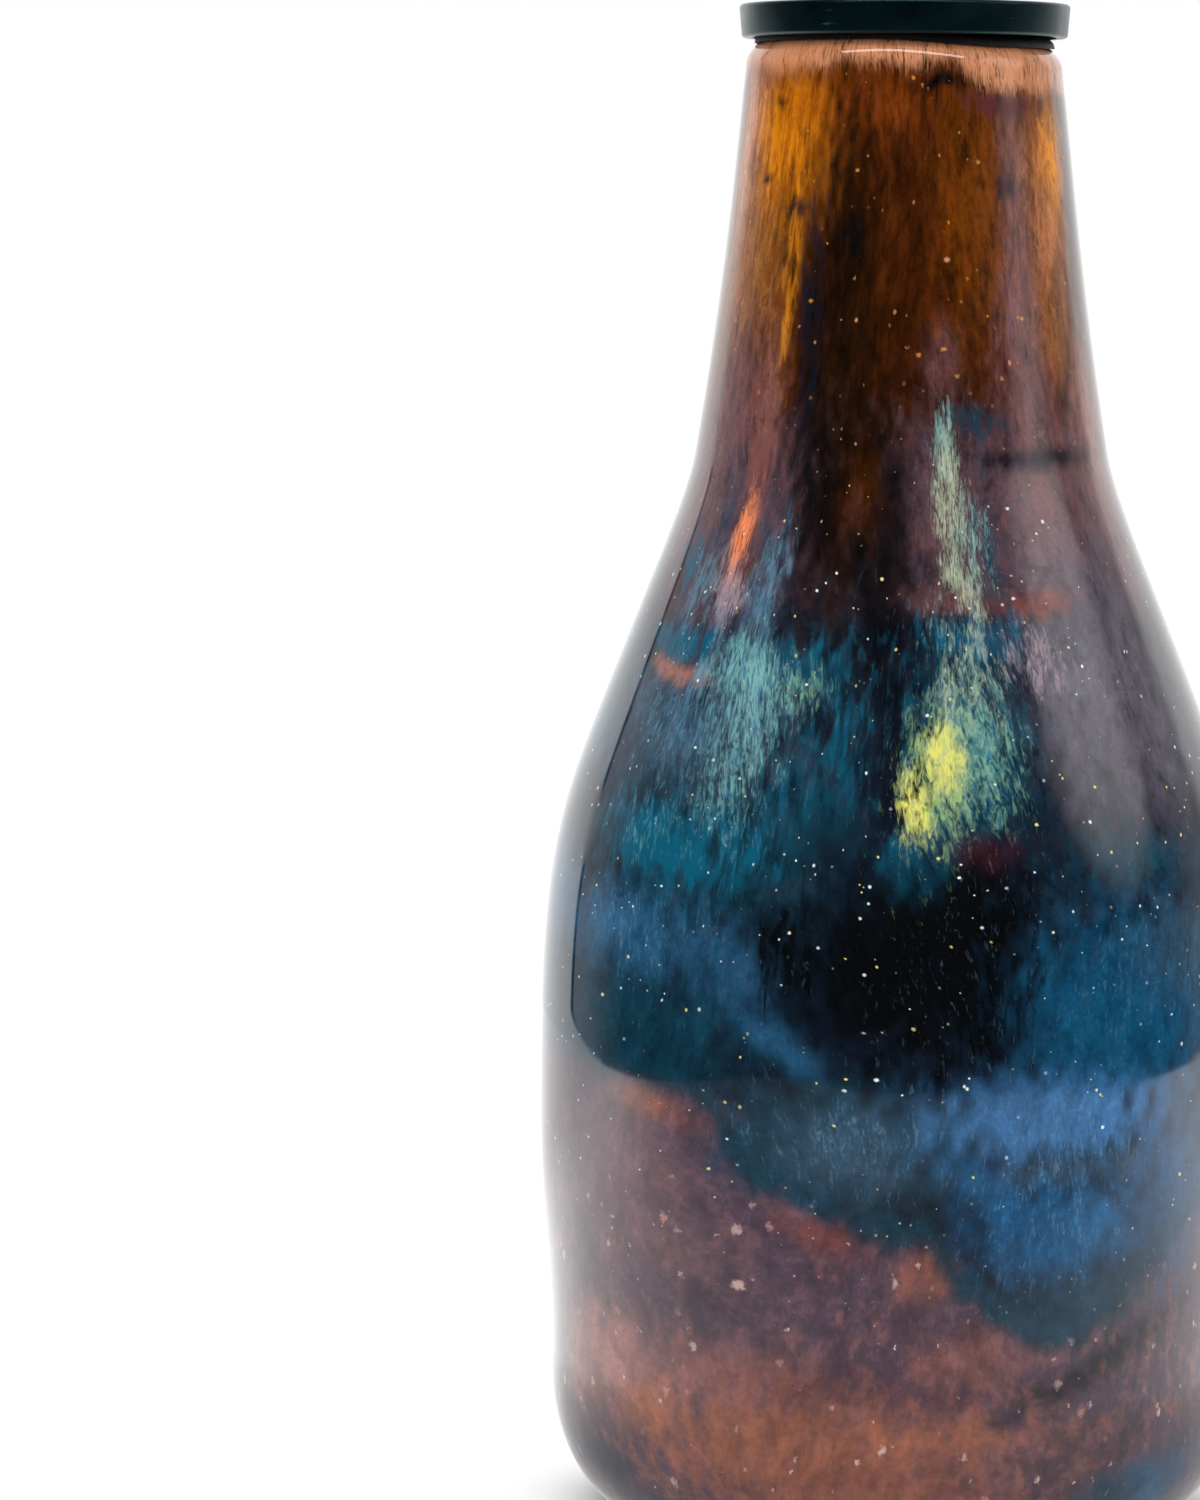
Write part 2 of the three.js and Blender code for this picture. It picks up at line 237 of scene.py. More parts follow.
def turned_piece(name, outline, columns, material):
    """A ring-shaped piece: a closed outline, anticlockwise with the radius to the right, spun about Z."""
    angles = np.linspace(0.0, 2 * np.pi, columns, endpoint=False)
    return piece(name, spun(outline, angles), grid_faces(len(outline), columns, True), material)


def bent(points, start, radius, degrees, towards):
    """Points bent over: past start, height becomes length along an arc in XZ, then a straight run."""
    x, y, z = np.moveaxis(points, -1, 0)
    length = np.maximum(z - start, 0.0)
    turn = np.minimum(length / radius, math.radians(degrees))
    run = length - radius * turn
    sideways = radius * (1 - np.cos(turn)) + run * np.sin(turn)
    upwards = radius * np.sin(turn) + run * np.cos(turn)
    bent_x = towards * sideways + x * np.cos(turn)
    bent_z = np.minimum(z, start) + upwards - towards * x * np.sin(turn)
    return np.stack([bent_x, y, bent_z], -1)


# Node materials.

def new_finish(name):
    """A new material, short calls for its nodes, and its shader."""
    material = bpy.data.materials.new(name)
    material.use_nodes = True
    g = Graph(material)
    return material, g, g.nodes["Principled BSDF"]


def linear(red, green, blue):
    """A colour written as sRGB from 0 to 255, in the renderer's linear values."""
    s = np.array([red, green, blue], float) / 255.0
    return np.where(s <= 0.04045, s / 12.92, ((s + 0.055) / 1.055) ** 2.4)


class Graph:
    """Short calls for the nodes that the finishes share."""

    def __init__(self, material):
        self.nodes = material.node_tree.nodes
        self.links = material.node_tree.links

    def join(self, source, socket):
        self.links.new(source, socket)

    def feed(self, socket, value):
        """Links a socket to another node's output, or sets it to a plain value."""
        if isinstance(value, bpy.types.NodeSocket):
            self.links.new(value, socket)
        elif value is not None:
            socket.default_value = value

    def add(self, kind, **given):
        """A new node of the kind, with the given inputs fed by their names."""
        node = self.nodes.new("ShaderNode" + kind)
        for name, value in given.items():
            self.feed(node.inputs[name], value)
        return node

    def attribute(self, name):
        """The node that reads one of the piece's own fields."""
        node = self.add("Attribute")
        node.attribute_name = name
        return node

    def object_place(self):
        """Each place on the piece, in metres."""
        return self.add("TexCoord").outputs["Object"]

    def scaled(self, vector, scale, offset=(0, 0, 0)):
        """The vector times the scale, then moved by the offset."""
        return self.add("Mapping", Vector=vector, Scale=scale, Location=offset).outputs["Vector"]

    def noise(self, vector, scale, detail=3.0, roughness=0.55, distortion=0.0):
        """Cloudy noise between 0 and 1, mostly near 0.5."""
        node = self.add("TexNoise", Vector=vector, Scale=scale, Detail=detail, Roughness=roughness)
        node.inputs["Distortion"].default_value = distortion
        return node.outputs["Fac"]

    def shaken(self, vector, scale, reach):
        """The vector moved by a noise of the given scale, up to about half the reach each way."""
        noise = self.add("TexNoise", Vector=vector, Scale=scale)
        moved = self.add("VectorMath")
        moved.operation = "MULTIPLY_ADD"
        self.join(noise.outputs["Color"], moved.inputs[0])
        moved.inputs[1].default_value = (reach, reach, reach)
        self.feed(moved.inputs[2], vector)
        return moved.outputs[0]

    def cells(self, vector, scale):
        """The distance to the nearest of many scattered points, and the colour of that point's cell."""
        node = self.add("TexVoronoi", Vector=vector, Scale=scale)
        return node.outputs["Distance"], node.outputs["Color"]

    def measure(self, kind, vector, other=None):
        """One number from a vector, such as its length, or from two."""
        node = self.add("VectorMath")
        node.operation = kind
        self.join(vector, node.inputs[0])
        self.feed(node.inputs[1], other)
        return node.outputs["Value"]

    def lot(self, cell, weights):
        """A chance from 0 to 1 for each cell: the fraction of a weighed sum, free of where its point lies."""
        return self.maths("FRACT", self.measure("DOT_PRODUCT", cell, weights))

    def ramp(self, value, low, high, to_low=0.0, to_high=1.0, smooth=True):
        """The value's way from low to high as a way from to_low to to_high, along an S or straight."""
        node = self.add("MapRange")
        node.interpolation_type = "SMOOTHSTEP" if smooth else "LINEAR"
        for socket, given in zip(("Value", "From Min", "From Max", "To Min", "To Max"),
                                 (value, low, high, to_low, to_high)):
            self.feed(node.inputs[socket], given)
        return node.outputs["Result"]

    def maths(self, kind, a, b=None):
        """One sum on one or two numbers."""
        node = self.add("Math")
        node.operation = kind
        self.feed(node.inputs[0], a)
        self.feed(node.inputs[1], b)
        return node.outputs[0]

    def times(self, a, b):
        return self.maths("MULTIPLY", a, b)

    def plus(self, a, b):
        return self.maths("ADD", a, b)

    def blend(self, share, below, above, kind="MIX"):
        """The colour below, with the one above laid over it by the share."""
        node = self.add("Mix")
        node.data_type = "RGBA"
        node.blend_type = kind
        self.feed(node.inputs[0], share)
        self.feed(node.inputs[6], (*below, 1.0) if isinstance(below, (tuple, np.ndarray)) else below)
        self.feed(node.inputs[7], (*above, 1.0) if isinstance(above, (tuple, np.ndarray)) else above)
        return node.outputs[2]

    def channel(self, colour, index):
        """A colour's red, green or blue, by its index."""
        node = self.add("SeparateColor")
        self.feed(node.inputs[0], colour)
        return node.outputs[index]

    def part(self, vector, axis):
        """A vector's X, Y or Z."""
        node = self.add("SeparateXYZ")
        self.feed(node.inputs[0], vector)
        return node.outputs[axis]

    def bump(self, height, distance, strength):
        """The surface's facing, tilted by a field of heights."""
        return self.add("Bump", Height=height, Distance=distance, Strength=strength).outputs["Normal"]

    def mixed(self, share, below, above):
        """A shader that goes from the one below to the one above."""
        node = self.add("MixShader")
        self.join(share, node.inputs[0])
        self.join(below.outputs[0], node.inputs[1])
        self.join(above.outputs[0], node.inputs[2])
        return node


# Glaze: places are angles from the front, in degrees with + to the right, and heights in millimetres.

GLAZE_SHADES = {
    "amber": (178, 100, 8),
    "honey": (136, 84, 38),
    "dark_amber": (50, 19, 1),
    "brown_black": (24, 9, 1),
    "umber": (98, 50, 12),
    "olive": (88, 42, 2),
    "rust": (108, 48, 8),
    "tan": (152, 96, 60),
    "gold": (208, 128, 8),
    "peach": (192, 130, 94),
    "mauve": (98, 66, 68),
    "dusk": (70, 52, 60),
    "smoke": (46, 40, 54),
    "plum": (66, 51, 63),
    "rose_brown": (110, 70, 66),
    "rose": (108, 74, 78),
    "blush": (150, 98, 90),
    "lilac": (150, 128, 134),
    "grey_mauve": (82, 76, 88),
    "black": (4, 5, 7),
    "oxblood": (58, 10, 20),
    "maroon": (76, 38, 44),
    "ink": (12, 18, 30),
    "navy": (18, 30, 48),
    "slate": (54, 78, 98),
    "deep_blue": (13, 68, 98),
    "cobalt": (34, 80, 112),
    "bright_blue": (58, 104, 150),
    "azure": (22, 84, 128),
    "hair_blue": (104, 142, 172),
    "deep_teal": (13, 50, 66),
    "teal": (10, 80, 104),
    "cyan": (24, 108, 146),
    "blue_grey": (88, 126, 146),
    "pale_teal": (116, 164, 162),
    "rutile": (168, 180, 152),
    "sea_green": (120, 162, 136),
    "yellow": (214, 207, 100),
    "lime": (150, 176, 104),
    "flame": (232, 134, 84),
    "brick": (120, 60, 50),
    "brown": (124, 72, 54),
    "orange_brown": (146, 86, 60),
    "spot_gold": (196, 122, 22),
    "spot_peach": (206, 146, 104),
    "sparkle_white": (214, 228, 230),
    "sparkle_straw": (222, 206, 130),
    "pit_rose": (176, 124, 112),
    "pit_pale": (210, 190, 186),
    "dark_clay": (176, 146, 112),
    "pale_clay": (206, 180, 146),
}
GLAZE = {name: linear(*shade) for name, shade in GLAZE_SHADES.items()}


class Pool(NamedTuple):
    """A soft patch of one glaze: its middle, half-width in degrees, half-height in mm, amount and lean."""
    glaze: str
    angle: float
    height: float
    wide: float
    tall: float
    amount: float = 1.0
    lean: float = 0.0


def pools(*rows):
    """Pools from rows of their values, in the order in which they are laid."""
    return [Pool(*row) for row in rows]


# Soft pools in the body of the glaze.
GROUND_POOLS = pools(
    ("amber", -46, 126, 20, 9),
    ("honey", -54, 113, 14, 9),
    ("tan", -67, 118, 9, 15, 0.8),
    ("peach", -64, 125, 7, 7, 0.5),
    ("amber", -34, 129.5, 10, 3, 0.6),
    ("rose", -66, 98, 8, 10, 0.5),
    ("rust", -14, 130, 22, 4, 0.75),
    # The brown-black down the front of the neck is partly the glaze's own dark and partly painted shade.
    ("brown_black", -19, 112, 9, 22),
    ("olive", 20, 121, 11, 11),
    ("umber", 31, 118, 7, 11),
    ("tan", 52, 119, 13, 11),
    ("gold", 61, 124.5, 8, 5, 0.8),
    ("blush", 66, 99, 8, 9, 0.6),
    ("rose", 65, 86, 7, 4, 0.5),
    ("mauve", 41, 118, 7, 14, 0.6),
    ("mauve", 40, 107, 10, 8),
    ("honey", 52, 109, 10, 5, 0.45),
    ("honey", -41, 105, 5, 5, 0.8),
    ("mauve", 12, 105.5, 6, 3.5, 0.45),
    ("mauve", -56, 101, 14, 9),
    ("slate", -50, 93, 4.5, 6, 0.55),
    ("rose_brown", -43, 101, 6, 7, 0.9),
    # The brown-black and the blacks in the middle of the front below the neck are partly the glaze's own dark
    # and partly painted shade.
    ("brown_black", -13, 95, 15, 13),
    ("black", -20, 93, 5, 8, 0.7),
    ("black", -6, 90, 7, 7, 0.6),
    ("olive", -10, 94, 5, 4, 0.3),
    ("black", -27, 97, 4, 16, 0.7),
    ("black", -1, 86, 6, 11, 0.8),
    ("mauve", 42, 96, 20, 6, 0.8),
    ("rose", 38, 90, 10, 5, 0.5),
    ("smoke", 28.5, 94, 6, 4, 0.55),
    ("slate", -33, 86, 5, 6, 0.8),
    ("rose_brown", -41, 88, 5, 5, 0.8),
    ("dusk", -50, 85, 14, 5, 0.8),
    ("grey_mauve", 44, 77, 19, 12),
    ("slate", -45, 74, 24, 8, 0.85),
    ("deep_teal", -38, 63, 22, 6, 0.9),
    ("deep_teal", -14, 68, 9, 12, 0.6),
    ("deep_teal", 15, 74, 10, 9, 0.7),
    ("deep_teal", 42, 62, 14, 3, 0.9),
    ("cobalt", -48, 55, 18, 4, 0.9),
    ("cobalt", -26, 53, 7, 3.5, 0.6),
    ("deep_teal", -46, 47, 22, 5),
    ("cobalt", -19, 46.5, 7, 2, 0.8, -0.35),
    ("deep_blue", 38, 49, 22, 9),
    ("slate", 50, 54, 10, 4, 0.45),
    ("deep_teal", -12, 38, 22, 5, 0.8),
    ("slate", -8, 37, 12, 4, 0.6),
    ("bright_blue", 26, 40, 20, 3.6, 0.95),
    ("slate", 30, 35.4, 20, 1.3, 0.6, 0.02),
    ("azure", 14, 34, 8, 2.6, 0.5, -0.3),
    ("azure", 27, 30, 14, 4.2, 0.95),
    ("azure", 50, 33, 10, 8, 0.55),
    ("deep_teal", 31, 23.2, 15, 2.6, 0.7),
    ("orange_brown", -44, 40.4, 6, 1.4, 0.6, -0.06),
    ("brick", -36, 39.4, 6, 1.2, 0.4, -0.1),
    ("rose", -46, 34, 12, 6, 0.35),
    ("plum", -31, 39.6, 5, 1.6, 0.5),
    ("rose", -40, 27, 14, 3, 0.3),
    ("brick", -11, 29.8, 7, 1.6, 0.6, -0.12),
    ("brown", 4.6, 26.5, 4.2, 2.3, 0.85),
    ("rose_brown", 12, 19, 9, 2.5, 0.8),
    ("blush", -56, 16.5, 11, 4.5, 0.85),
    ("rose_brown", -30, 17, 22, 2.5, 0.7),
    ("brown", -14, 10.5, 30, 5),
    ("brown", -4, 5.5, 25, 3, 0.65),
    ("orange_brown", -44, 12.5, 6, 2.4, 0.8),
    ("orange_brown", 10, 12, 10, 1.2, 0.6),
    ("dusk", 33, 10.5, 13, 4, 0.9),
    ("ink", 33, 17.4, 20, 1.6, 0.95, 0.236),
    ("navy", -60, 6.6, 11, 3.4, 0.85),
    ("deep_blue", 46, 4.8, 15, 3.4, 1.0, 0.12),
    ("deep_teal", 39, 4.4, 8, 2.6, 0.9, 0.1),
    ("navy", -44, 3.0, 14, 1.0, 0.85),
    ("black", 12, 130.9, 11, 0.65, 1.0),
    ("black", -47, 129.2, 4, 0.45, 0.9),
    ("black", -50, 122.2, 3.4, 0.42, 0.95),
    ("ink", -36, 119, 5, 0.9, 0.9),
    ("black", -17, 116.8, 3.6, 1.7, 0.95),
    ("navy", 37, 121, 5, 1.2, 0.75),
    ("ink", -14, 74.4, 5, 2.2, 0.9),
    ("rose_brown", 12, 84.8, 9, 1.2, 0.5),
    ("brick", 31, 84.8, 9, 1.2, 0.85),
    ("flame", -50, 78.2, 9, 0.9, 0.4, -0.06),
    ("ink", 42, 97.4, 24, 1.0, 0.9),
    # This black at the middle of the belly's front is partly the glaze's own dark and partly painted shade.
    ("black", 2, 54, 15, 8, 0.75),
    ("ink", 9, 46, 10, 2.4, 0.6),
    ("deep_teal", 20, 66, 6, 4, 0.5),
    ("smoke", -50, 96, 5, 4.5, 0.5),
    ("grey_mauve", 88, 83, 9, 8, 0.6),
    ("slate", 91, 71, 9, 6, 0.7),
    ("deep_blue", 86, 55, 10, 7, 0.8),
    ("cobalt", 90, 43, 10, 3, 0.7),
    ("slate", -84, 86, 10, 4, 0.6, 0.1),
    ("deep_teal", -84, 74, 20, 7, 0.8),
    ("cobalt", -82, 57, 20, 5, 0.8),
    ("deep_teal", -84, 48, 18, 4, 0.8),
)

# Runs over the ground, broken into streaks.
RUN_POOLS = pools(
    ("maroon", -48, 131.0, 18, 1.1, 0.35),
    ("maroon", 40, 129.0, 22, 1.5, 0.65),
    ("ink", -29, 110, 4, 11, 0.65),
    ("gold", -37, 112, 3, 7, 0.42),
    ("gold", -48, 126, 9, 4, 0.45),
    ("deep_teal", 22, 100.6, 9, 1.6, 0.75),
    ("deep_teal", 21, 89, 5, 6, 0.5),
    ("rose_brown", -42, 97, 5, 4, 0.6),
    ("teal", -58, 88, 6, 3, 0.75),
    ("teal", 18, 81.5, 13, 2.2, 0.5),
    ("teal", -52, 80.8, 14, 1.8, 0.75),
    ("teal", -22, 79.5, 16, 2.6, 0.6),
    ("teal", -9, 73, 5, 7, 0.4),
    ("teal", -20, 69, 14, 6, 0.3),
    ("teal", -41, 63.8, 19, 3.6, 0.95),
    ("teal", 13, 72, 11, 8, 0.55),
    ("teal", 4, 62.5, 6, 4, 0.7),
    # These blacks at the middle of the belly's front are partly the glaze's own dark and partly painted
    # shade.
    ("black", 2, 53, 18, 9, 0.95),
    ("black", 15, 59, 9, 5, 0.85),
    ("black", 13, 49, 8, 4, 0.7),
    ("black", -19, 55.5, 6, 4.5, 0.7),
    ("ink", -11, 64, 6, 5, 0.55),
    ("ink", 22, 65.5, 6, 4.5, 0.6),
    ("oxblood", 14, 63.4, 7, 1.6, 0.45),
    ("teal", 89, 78, 8, 4, 0.7),
    ("black", 92, 62, 9, 4, 0.6),
    ("teal", -80, 71, 9, 3, 0.6, -0.1),
)

# Pale feathers on top, the finest streaks.
FEATHER_POOLS = pools(
    ("pale_teal", 13, 99, 4, 3.5, 0.5),
    ("rutile", 14, 92.5, 4.8, 6.5, 0.6),
    ("rutile", 17, 86, 4.5, 3, 0.42),
    ("pale_teal", 20, 91, 4, 4, 0.35),
    ("flame", -42.5, 90.4, 3.6, 4.4, 0.78),
    ("lilac", -41, 85, 5, 3, 0.84),
    ("blue_grey", -51, 86, 6, 4.5, 0.55),
    ("blue_grey", -32, 86, 5, 5, 0.58),
    ("blue_grey", -44, 75, 18, 6, 0.5),
    ("pale_teal", -33, 79, 9, 3, 0.6),
    ("pale_teal", -29, 75, 8, 5, 0.5),
    ("pale_teal", -31, 68, 8, 5, 0.42),
    ("sea_green", -18, 78, 6, 2.4, 0.5),
    ("pale_teal", -46, 65, 8, 4, 0.3),
    ("rutile", 14, 79, 7, 5, 0.46),
    ("lilac", 28, 80, 7, 3.6, 0.64),
    ("sea_green", 15, 71, 8.5, 6, 0.6),
    ("lime", 6.5, 69, 5.5, 6.8, 0.55),
    ("yellow", 9.2, 71.4, 2.8, 2.9, 0.85),
    ("yellow", 4.2, 66.8, 2.4, 3.2, 0.8),
    ("hair_blue", -46, 56, 14, 4, 0.2),
    ("hair_blue", 40, 52, 20, 6, 0.1),
    ("hair_blue", -8, 38, 14, 4, 0.24),
    ("hair_blue", 26, 38.5, 18, 5, 0.28),
    ("hair_blue", 24, 30, 14, 5, 0.24),
    ("pale_teal", 90, 75, 6, 7, 0.5),
    ("hair_blue", 87, 50, 10, 6, 0.2),
    ("lilac", -82, 90, 4, 4, 0.5),
    ("blue_grey", -80, 79, 9, 4, 0.5),
)

# Mottling that shows through the ground, by height: under the blue glaze, and in and above it.
LOW_MOTTLE_HEIGHTS = (0, 14, 19, 43)
LOW_MOTTLE_GLAZES = ("orange_brown", "orange_brown", "rose", "rose")
LOW_MOTTLE_AMOUNTS = (0.3, 0.3, 0.45, 0.4)
HIGH_MOTTLE_HEIGHTS = (18, 46, 58, 64, 84, 90, 101, 107, 135)
HIGH_MOTTLE_GLAZES = ("slate", "cobalt", "slate", "smoke", "dusk", "rose_brown", "rose_brown", "rust", "rust")
HIGH_MOTTLE_AMOUNTS = (0.15, 0.2, 0.3, 0.5, 0.5, 0.4, 0.4, 0.5, 0.5)
BACK_FADE = (75, 130)  # the angles, both ways, between which the front's pattern becomes the back's
BACK_DROP = 3.0  # how much lower than at the front the pattern lies at the back
BACK_TILT = 6.0  # how much lower still at the right of the pot, and higher at its left
DARK_GROUND = 0.04  # grounds darker than this, in linear light, let less mottling through

# The lower edge of the blue glaze and of the pale lip round the front, as angles and heights.
BLUE_EDGE_ANGLES = (-90, -60, -44, -35, -31, -26, -16, -9, -5, 5.4, 9, 12, 18, 22, 30, 38, 45, 54, 70, 90)
BLUE_EDGE_HEIGHTS = (
    43, 43, 42.6, 42, 40.5, 34.5, 32, 30.5, 29, 28.7, 25, 24, 21.2, 19.7, 20, 22.4, 25.3, 29.8, 33, 36,
)
LIP_EDGE_ANGLES = (-90, -30, -22, 12, 20, 28, 90)
LIP_EDGE_HEIGHTS = (131.8, 132.0, 133.0, 133.0, 132.5, 130.5, 130.2)
LIP_COVER = 0.8
BLUE_RIM_HEIGHT, BLUE_RIM_WIDTH, BLUE_RIM_COVER = 1.4, 1.5, 0.7
SHOULDER_FADE = (82, 90)
NECK_EDGE = 100.0
NECK_EDGE_SOFT = 4.0

# Heights between which the marks in the glaze come in or go out.
SPOTS_IN = (98, 108)
SPARKLES_IN, SPARKLES_OUT = (18, 40), (90, 103)
PITS_OUT = (26, 38)
TINGES_IN, TINGES_OUT = (56, 62), (82, 88)


def smooth_step(low, high, value):
    """0 below low, 1 above high, and 3t^2 - 2t^3 between."""
    t = np.clip((value - low) / (high - low), 0.0, 1.0)
    return t * t * (3 - 2 * t)


SLOW_WAVES = (3, 5, 8)
ALL_WAVES = (3, 5, 8, 13, 21, 34, 55)
FRAY_WAVES = 24
FRAY = 0.13  # how far the short waves push a pool's edge, in half-widths
RUN_LINES_RADIUS = 30.0  # of the round on which the streaks of the glaze are drawn


def wander(angle, height, seed, reach, waves=ALL_WAVES):
    """A drift: sines of whole turns round the pot and of height, of which longer ones reach further."""
    rng = np.random.default_rng(seed)
    drift = np.zeros_like(height)
    for turns in waves:
        for _ in range(3):
            rise = rng.uniform(-1.0, 1.0) * turns / 30.0
            phase = rng.uniform(0.0, 2 * np.pi)
            drift += np.sin(np.radians(angle) * turns + height * rise + phase) / turns**0.65
    return drift * reach


def frayed(angle, height, seed):
    """Short waves in all directions, adding up to about 1. The shortest fade out away from the front."""
    rng = np.random.default_rng(seed)
    waves = np.zeros_like(height)
    aside = smooth_step(45, 80, np.abs(angle))
    for turns in rng.integers(20, 95, FRAY_WAVES):
        rise = rng.normal() * 1.2
        wave = np.sin(np.radians(angle) * turns + height * rise + rng.uniform(0.0, 2 * np.pi))
        waves += wave * (1 - aside * (turns > 50))
    return waves / math.sqrt(FRAY_WAVES / 2)


def pool_share(pool, angle, height, fray):
    """exp(-d^3), with d the distance from the middle in half-widths and half-heights, frayed a little."""
    across = (angle - pool.angle) / pool.wide
    along = (height - pool.height - pool.lean * (angle - pool.angle)) / pool.tall
    d = np.maximum(0.0, np.hypot(across, along) + FRAY * fray)
    return pool.amount * np.exp(-(d**3))


def laid(patches, angle, height, frays):
    """The colour of the pools at each place and how far they cover it, each pool over the ones before."""
    colour = np.zeros((*angle.shape, 3))
    cover = np.zeros_like(angle)
    for number, pool in enumerate(patches):
        share = pool_share(pool, angle, height, frays[number % len(frays)])
        cover = 1 - (1 - cover) * (1 - share)
        weight = (share / np.maximum(cover, 1e-6))[..., None]
        colour += weight * (GLAZE[pool.glaze] - colour)
    return colour, cover


def by_height(height, heights, glazes, amounts):
    """A colour and an amount at each height, straight between the listed ones."""
    colours = np.array([GLAZE[name] for name in glazes])
    colour = np.stack([np.interp(height, heights, shade) for shade in colours.T], -1)
    return colour, np.interp(height, heights, amounts)


def glaze_fields(angle, height):
    """The glaze's colours and covers at each angle and height.

    The back is the front turned over, drifted and shifted, so that it is no plain mirror image."""
    back = smooth_step(*BACK_FADE, np.abs(angle))
    folded = np.where(np.abs(angle) > 90, np.sign(angle) * 180 - angle, angle)
    loose = 1 + 3 * back
    a = folded + wander(angle, height, seed=3, reach=0.9) * loose
    middle = smooth_step(0, 25, height) * (1 - smooth_step(100, 125, height))
    shift = back * middle * (BACK_DROP + BACK_TILT * np.sin(np.radians(angle)))
    h = height + wander(angle, height, seed=5, reach=0.4) * loose + shift
    frays = [frayed(angle, height, seed) for seed in (21, 22, 23, 24)]

    blue_edge = np.interp(a, BLUE_EDGE_ANGLES, BLUE_EDGE_HEIGHTS) + 0.35 * frays[0]
    in_blue = smooth_step(-1.0, 1.0, h - blue_edge)[..., None]
    in_neck = smooth_step(-NECK_EDGE_SOFT, NECK_EDGE_SOFT, h - NECK_EDGE + frays[1])[..., None]
    on_shoulder = smooth_step(*SHOULDER_FADE, h)[..., None]
    ground = GLAZE["plum"] + in_blue * (GLAZE["ink"] - GLAZE["plum"])
    ground = ground + on_shoulder * (GLAZE["dusk"] - ground)
    ground = ground + in_neck * (GLAZE["dark_amber"] - ground)
    pooled, pool_cover = laid(GROUND_POOLS, a, h, frays)
    ground = ground + pool_cover[..., None] * (pooled - ground)
    rim = np.exp(-(((h - blue_edge - BLUE_RIM_HEIGHT) / BLUE_RIM_WIDTH) ** 2))[..., None]
    ground = ground + BLUE_RIM_COVER * rim * (GLAZE["deep_teal"] - ground)

    runs, run_cover = laid(RUN_POOLS, a, h, frays)
    feathers, feather_cover = laid(FEATHER_POOLS, a, h, frays)
    feather_cover = feather_cover * (1 - 0.35 * back)
    lip = smooth_step(-2.4, 0.9, h - np.interp(a, LIP_EDGE_ANGLES, LIP_EDGE_HEIGHTS))
    feathers = feathers + lip[..., None] * (GLAZE["peach"] - feathers)
    feather_cover = np.maximum(feather_cover, LIP_COVER * lip)
    low, low_amount = by_height(h, LOW_MOTTLE_HEIGHTS, LOW_MOTTLE_GLAZES, LOW_MOTTLE_AMOUNTS)
    high, high_amount = by_height(h, HIGH_MOTTLE_HEIGHTS, HIGH_MOTTLE_GLAZES, HIGH_MOTTLE_AMOUNTS)
    mottle = low + in_blue * (high - low)
    mottle_amount = low_amount + in_blue[..., 0] * (high_amount - low_amount)
    mottle_amount = mottle_amount * np.clip(ground.mean(-1) / DARK_GROUND, 0.12, 1.0)
    bluish = smooth_step(0.0, 0.03, ground[..., 2] - ground[..., 0]) * (1 - in_blue[..., 0])
    mottle_amount = mottle_amount * (1 - 0.85 * bluish)
    sunny = laid([pool for pool in FEATHER_POOLS if pool.glaze in ("yellow", "lime")], a, h, frays)[1]
    # Where there are spots in the neck, sparkles, pits, and tinges in the feathers.
    marks = np.stack([
        smooth_step(*SPOTS_IN, h),
        smooth_step(*SPARKLES_IN, h) * (1 - smooth_step(*SPARKLES_OUT, h)),
        (1 - smooth_step(*PITS_OUT, h)) * (1 - in_blue[..., 0]) * (1 - 0.8 * bluish),
        smooth_step(*TINGES_IN, h) * (1 - smooth_step(*TINGES_OUT, h)) * (1 - 0.7 * sunny),
    ], -1)
    return {
        "ground": np.concatenate([ground, smooth_step(0.2, 0.9, height)[..., None]], -1),
        "mottle": np.concatenate([mottle, mottle_amount[..., None]], -1),
        "runs": np.concatenate([runs, run_cover[..., None]], -1),
        "feathers": np.concatenate([feathers, feather_cover[..., None]], -1),
        "marks": marks,
    }


# Weights that draw each dot's luck, size and shade from the colour of its cell.
LUCK_LOT = (37.1, 91.7, 53.3)
SIZE_LOT = (71.9, 29.3, 83.7)
SHADE_LOT = (43.7, 67.1, 97.9)


def dots(g, place, scale, sizes, smallness, core, luck):
    """Round dots in the lucky ones of the cells: how far they cover each place, and a lot for their shade.

    A dot's size is a lot raised to the smallness, and it is whole within the core, a share of that size."""
    distance, cell = g.cells(place, scale)
    size = g.ramp(g.maths("POWER", g.lot(cell, SIZE_LOT), smallness), 0.0, 1.0, *sizes, False)
    dot = g.ramp(distance, size, g.times(size, core))
    return g.times(dot, g.ramp(g.lot(cell, LUCK_LOT), *luck)), g.lot(cell, SHADE_LOT)


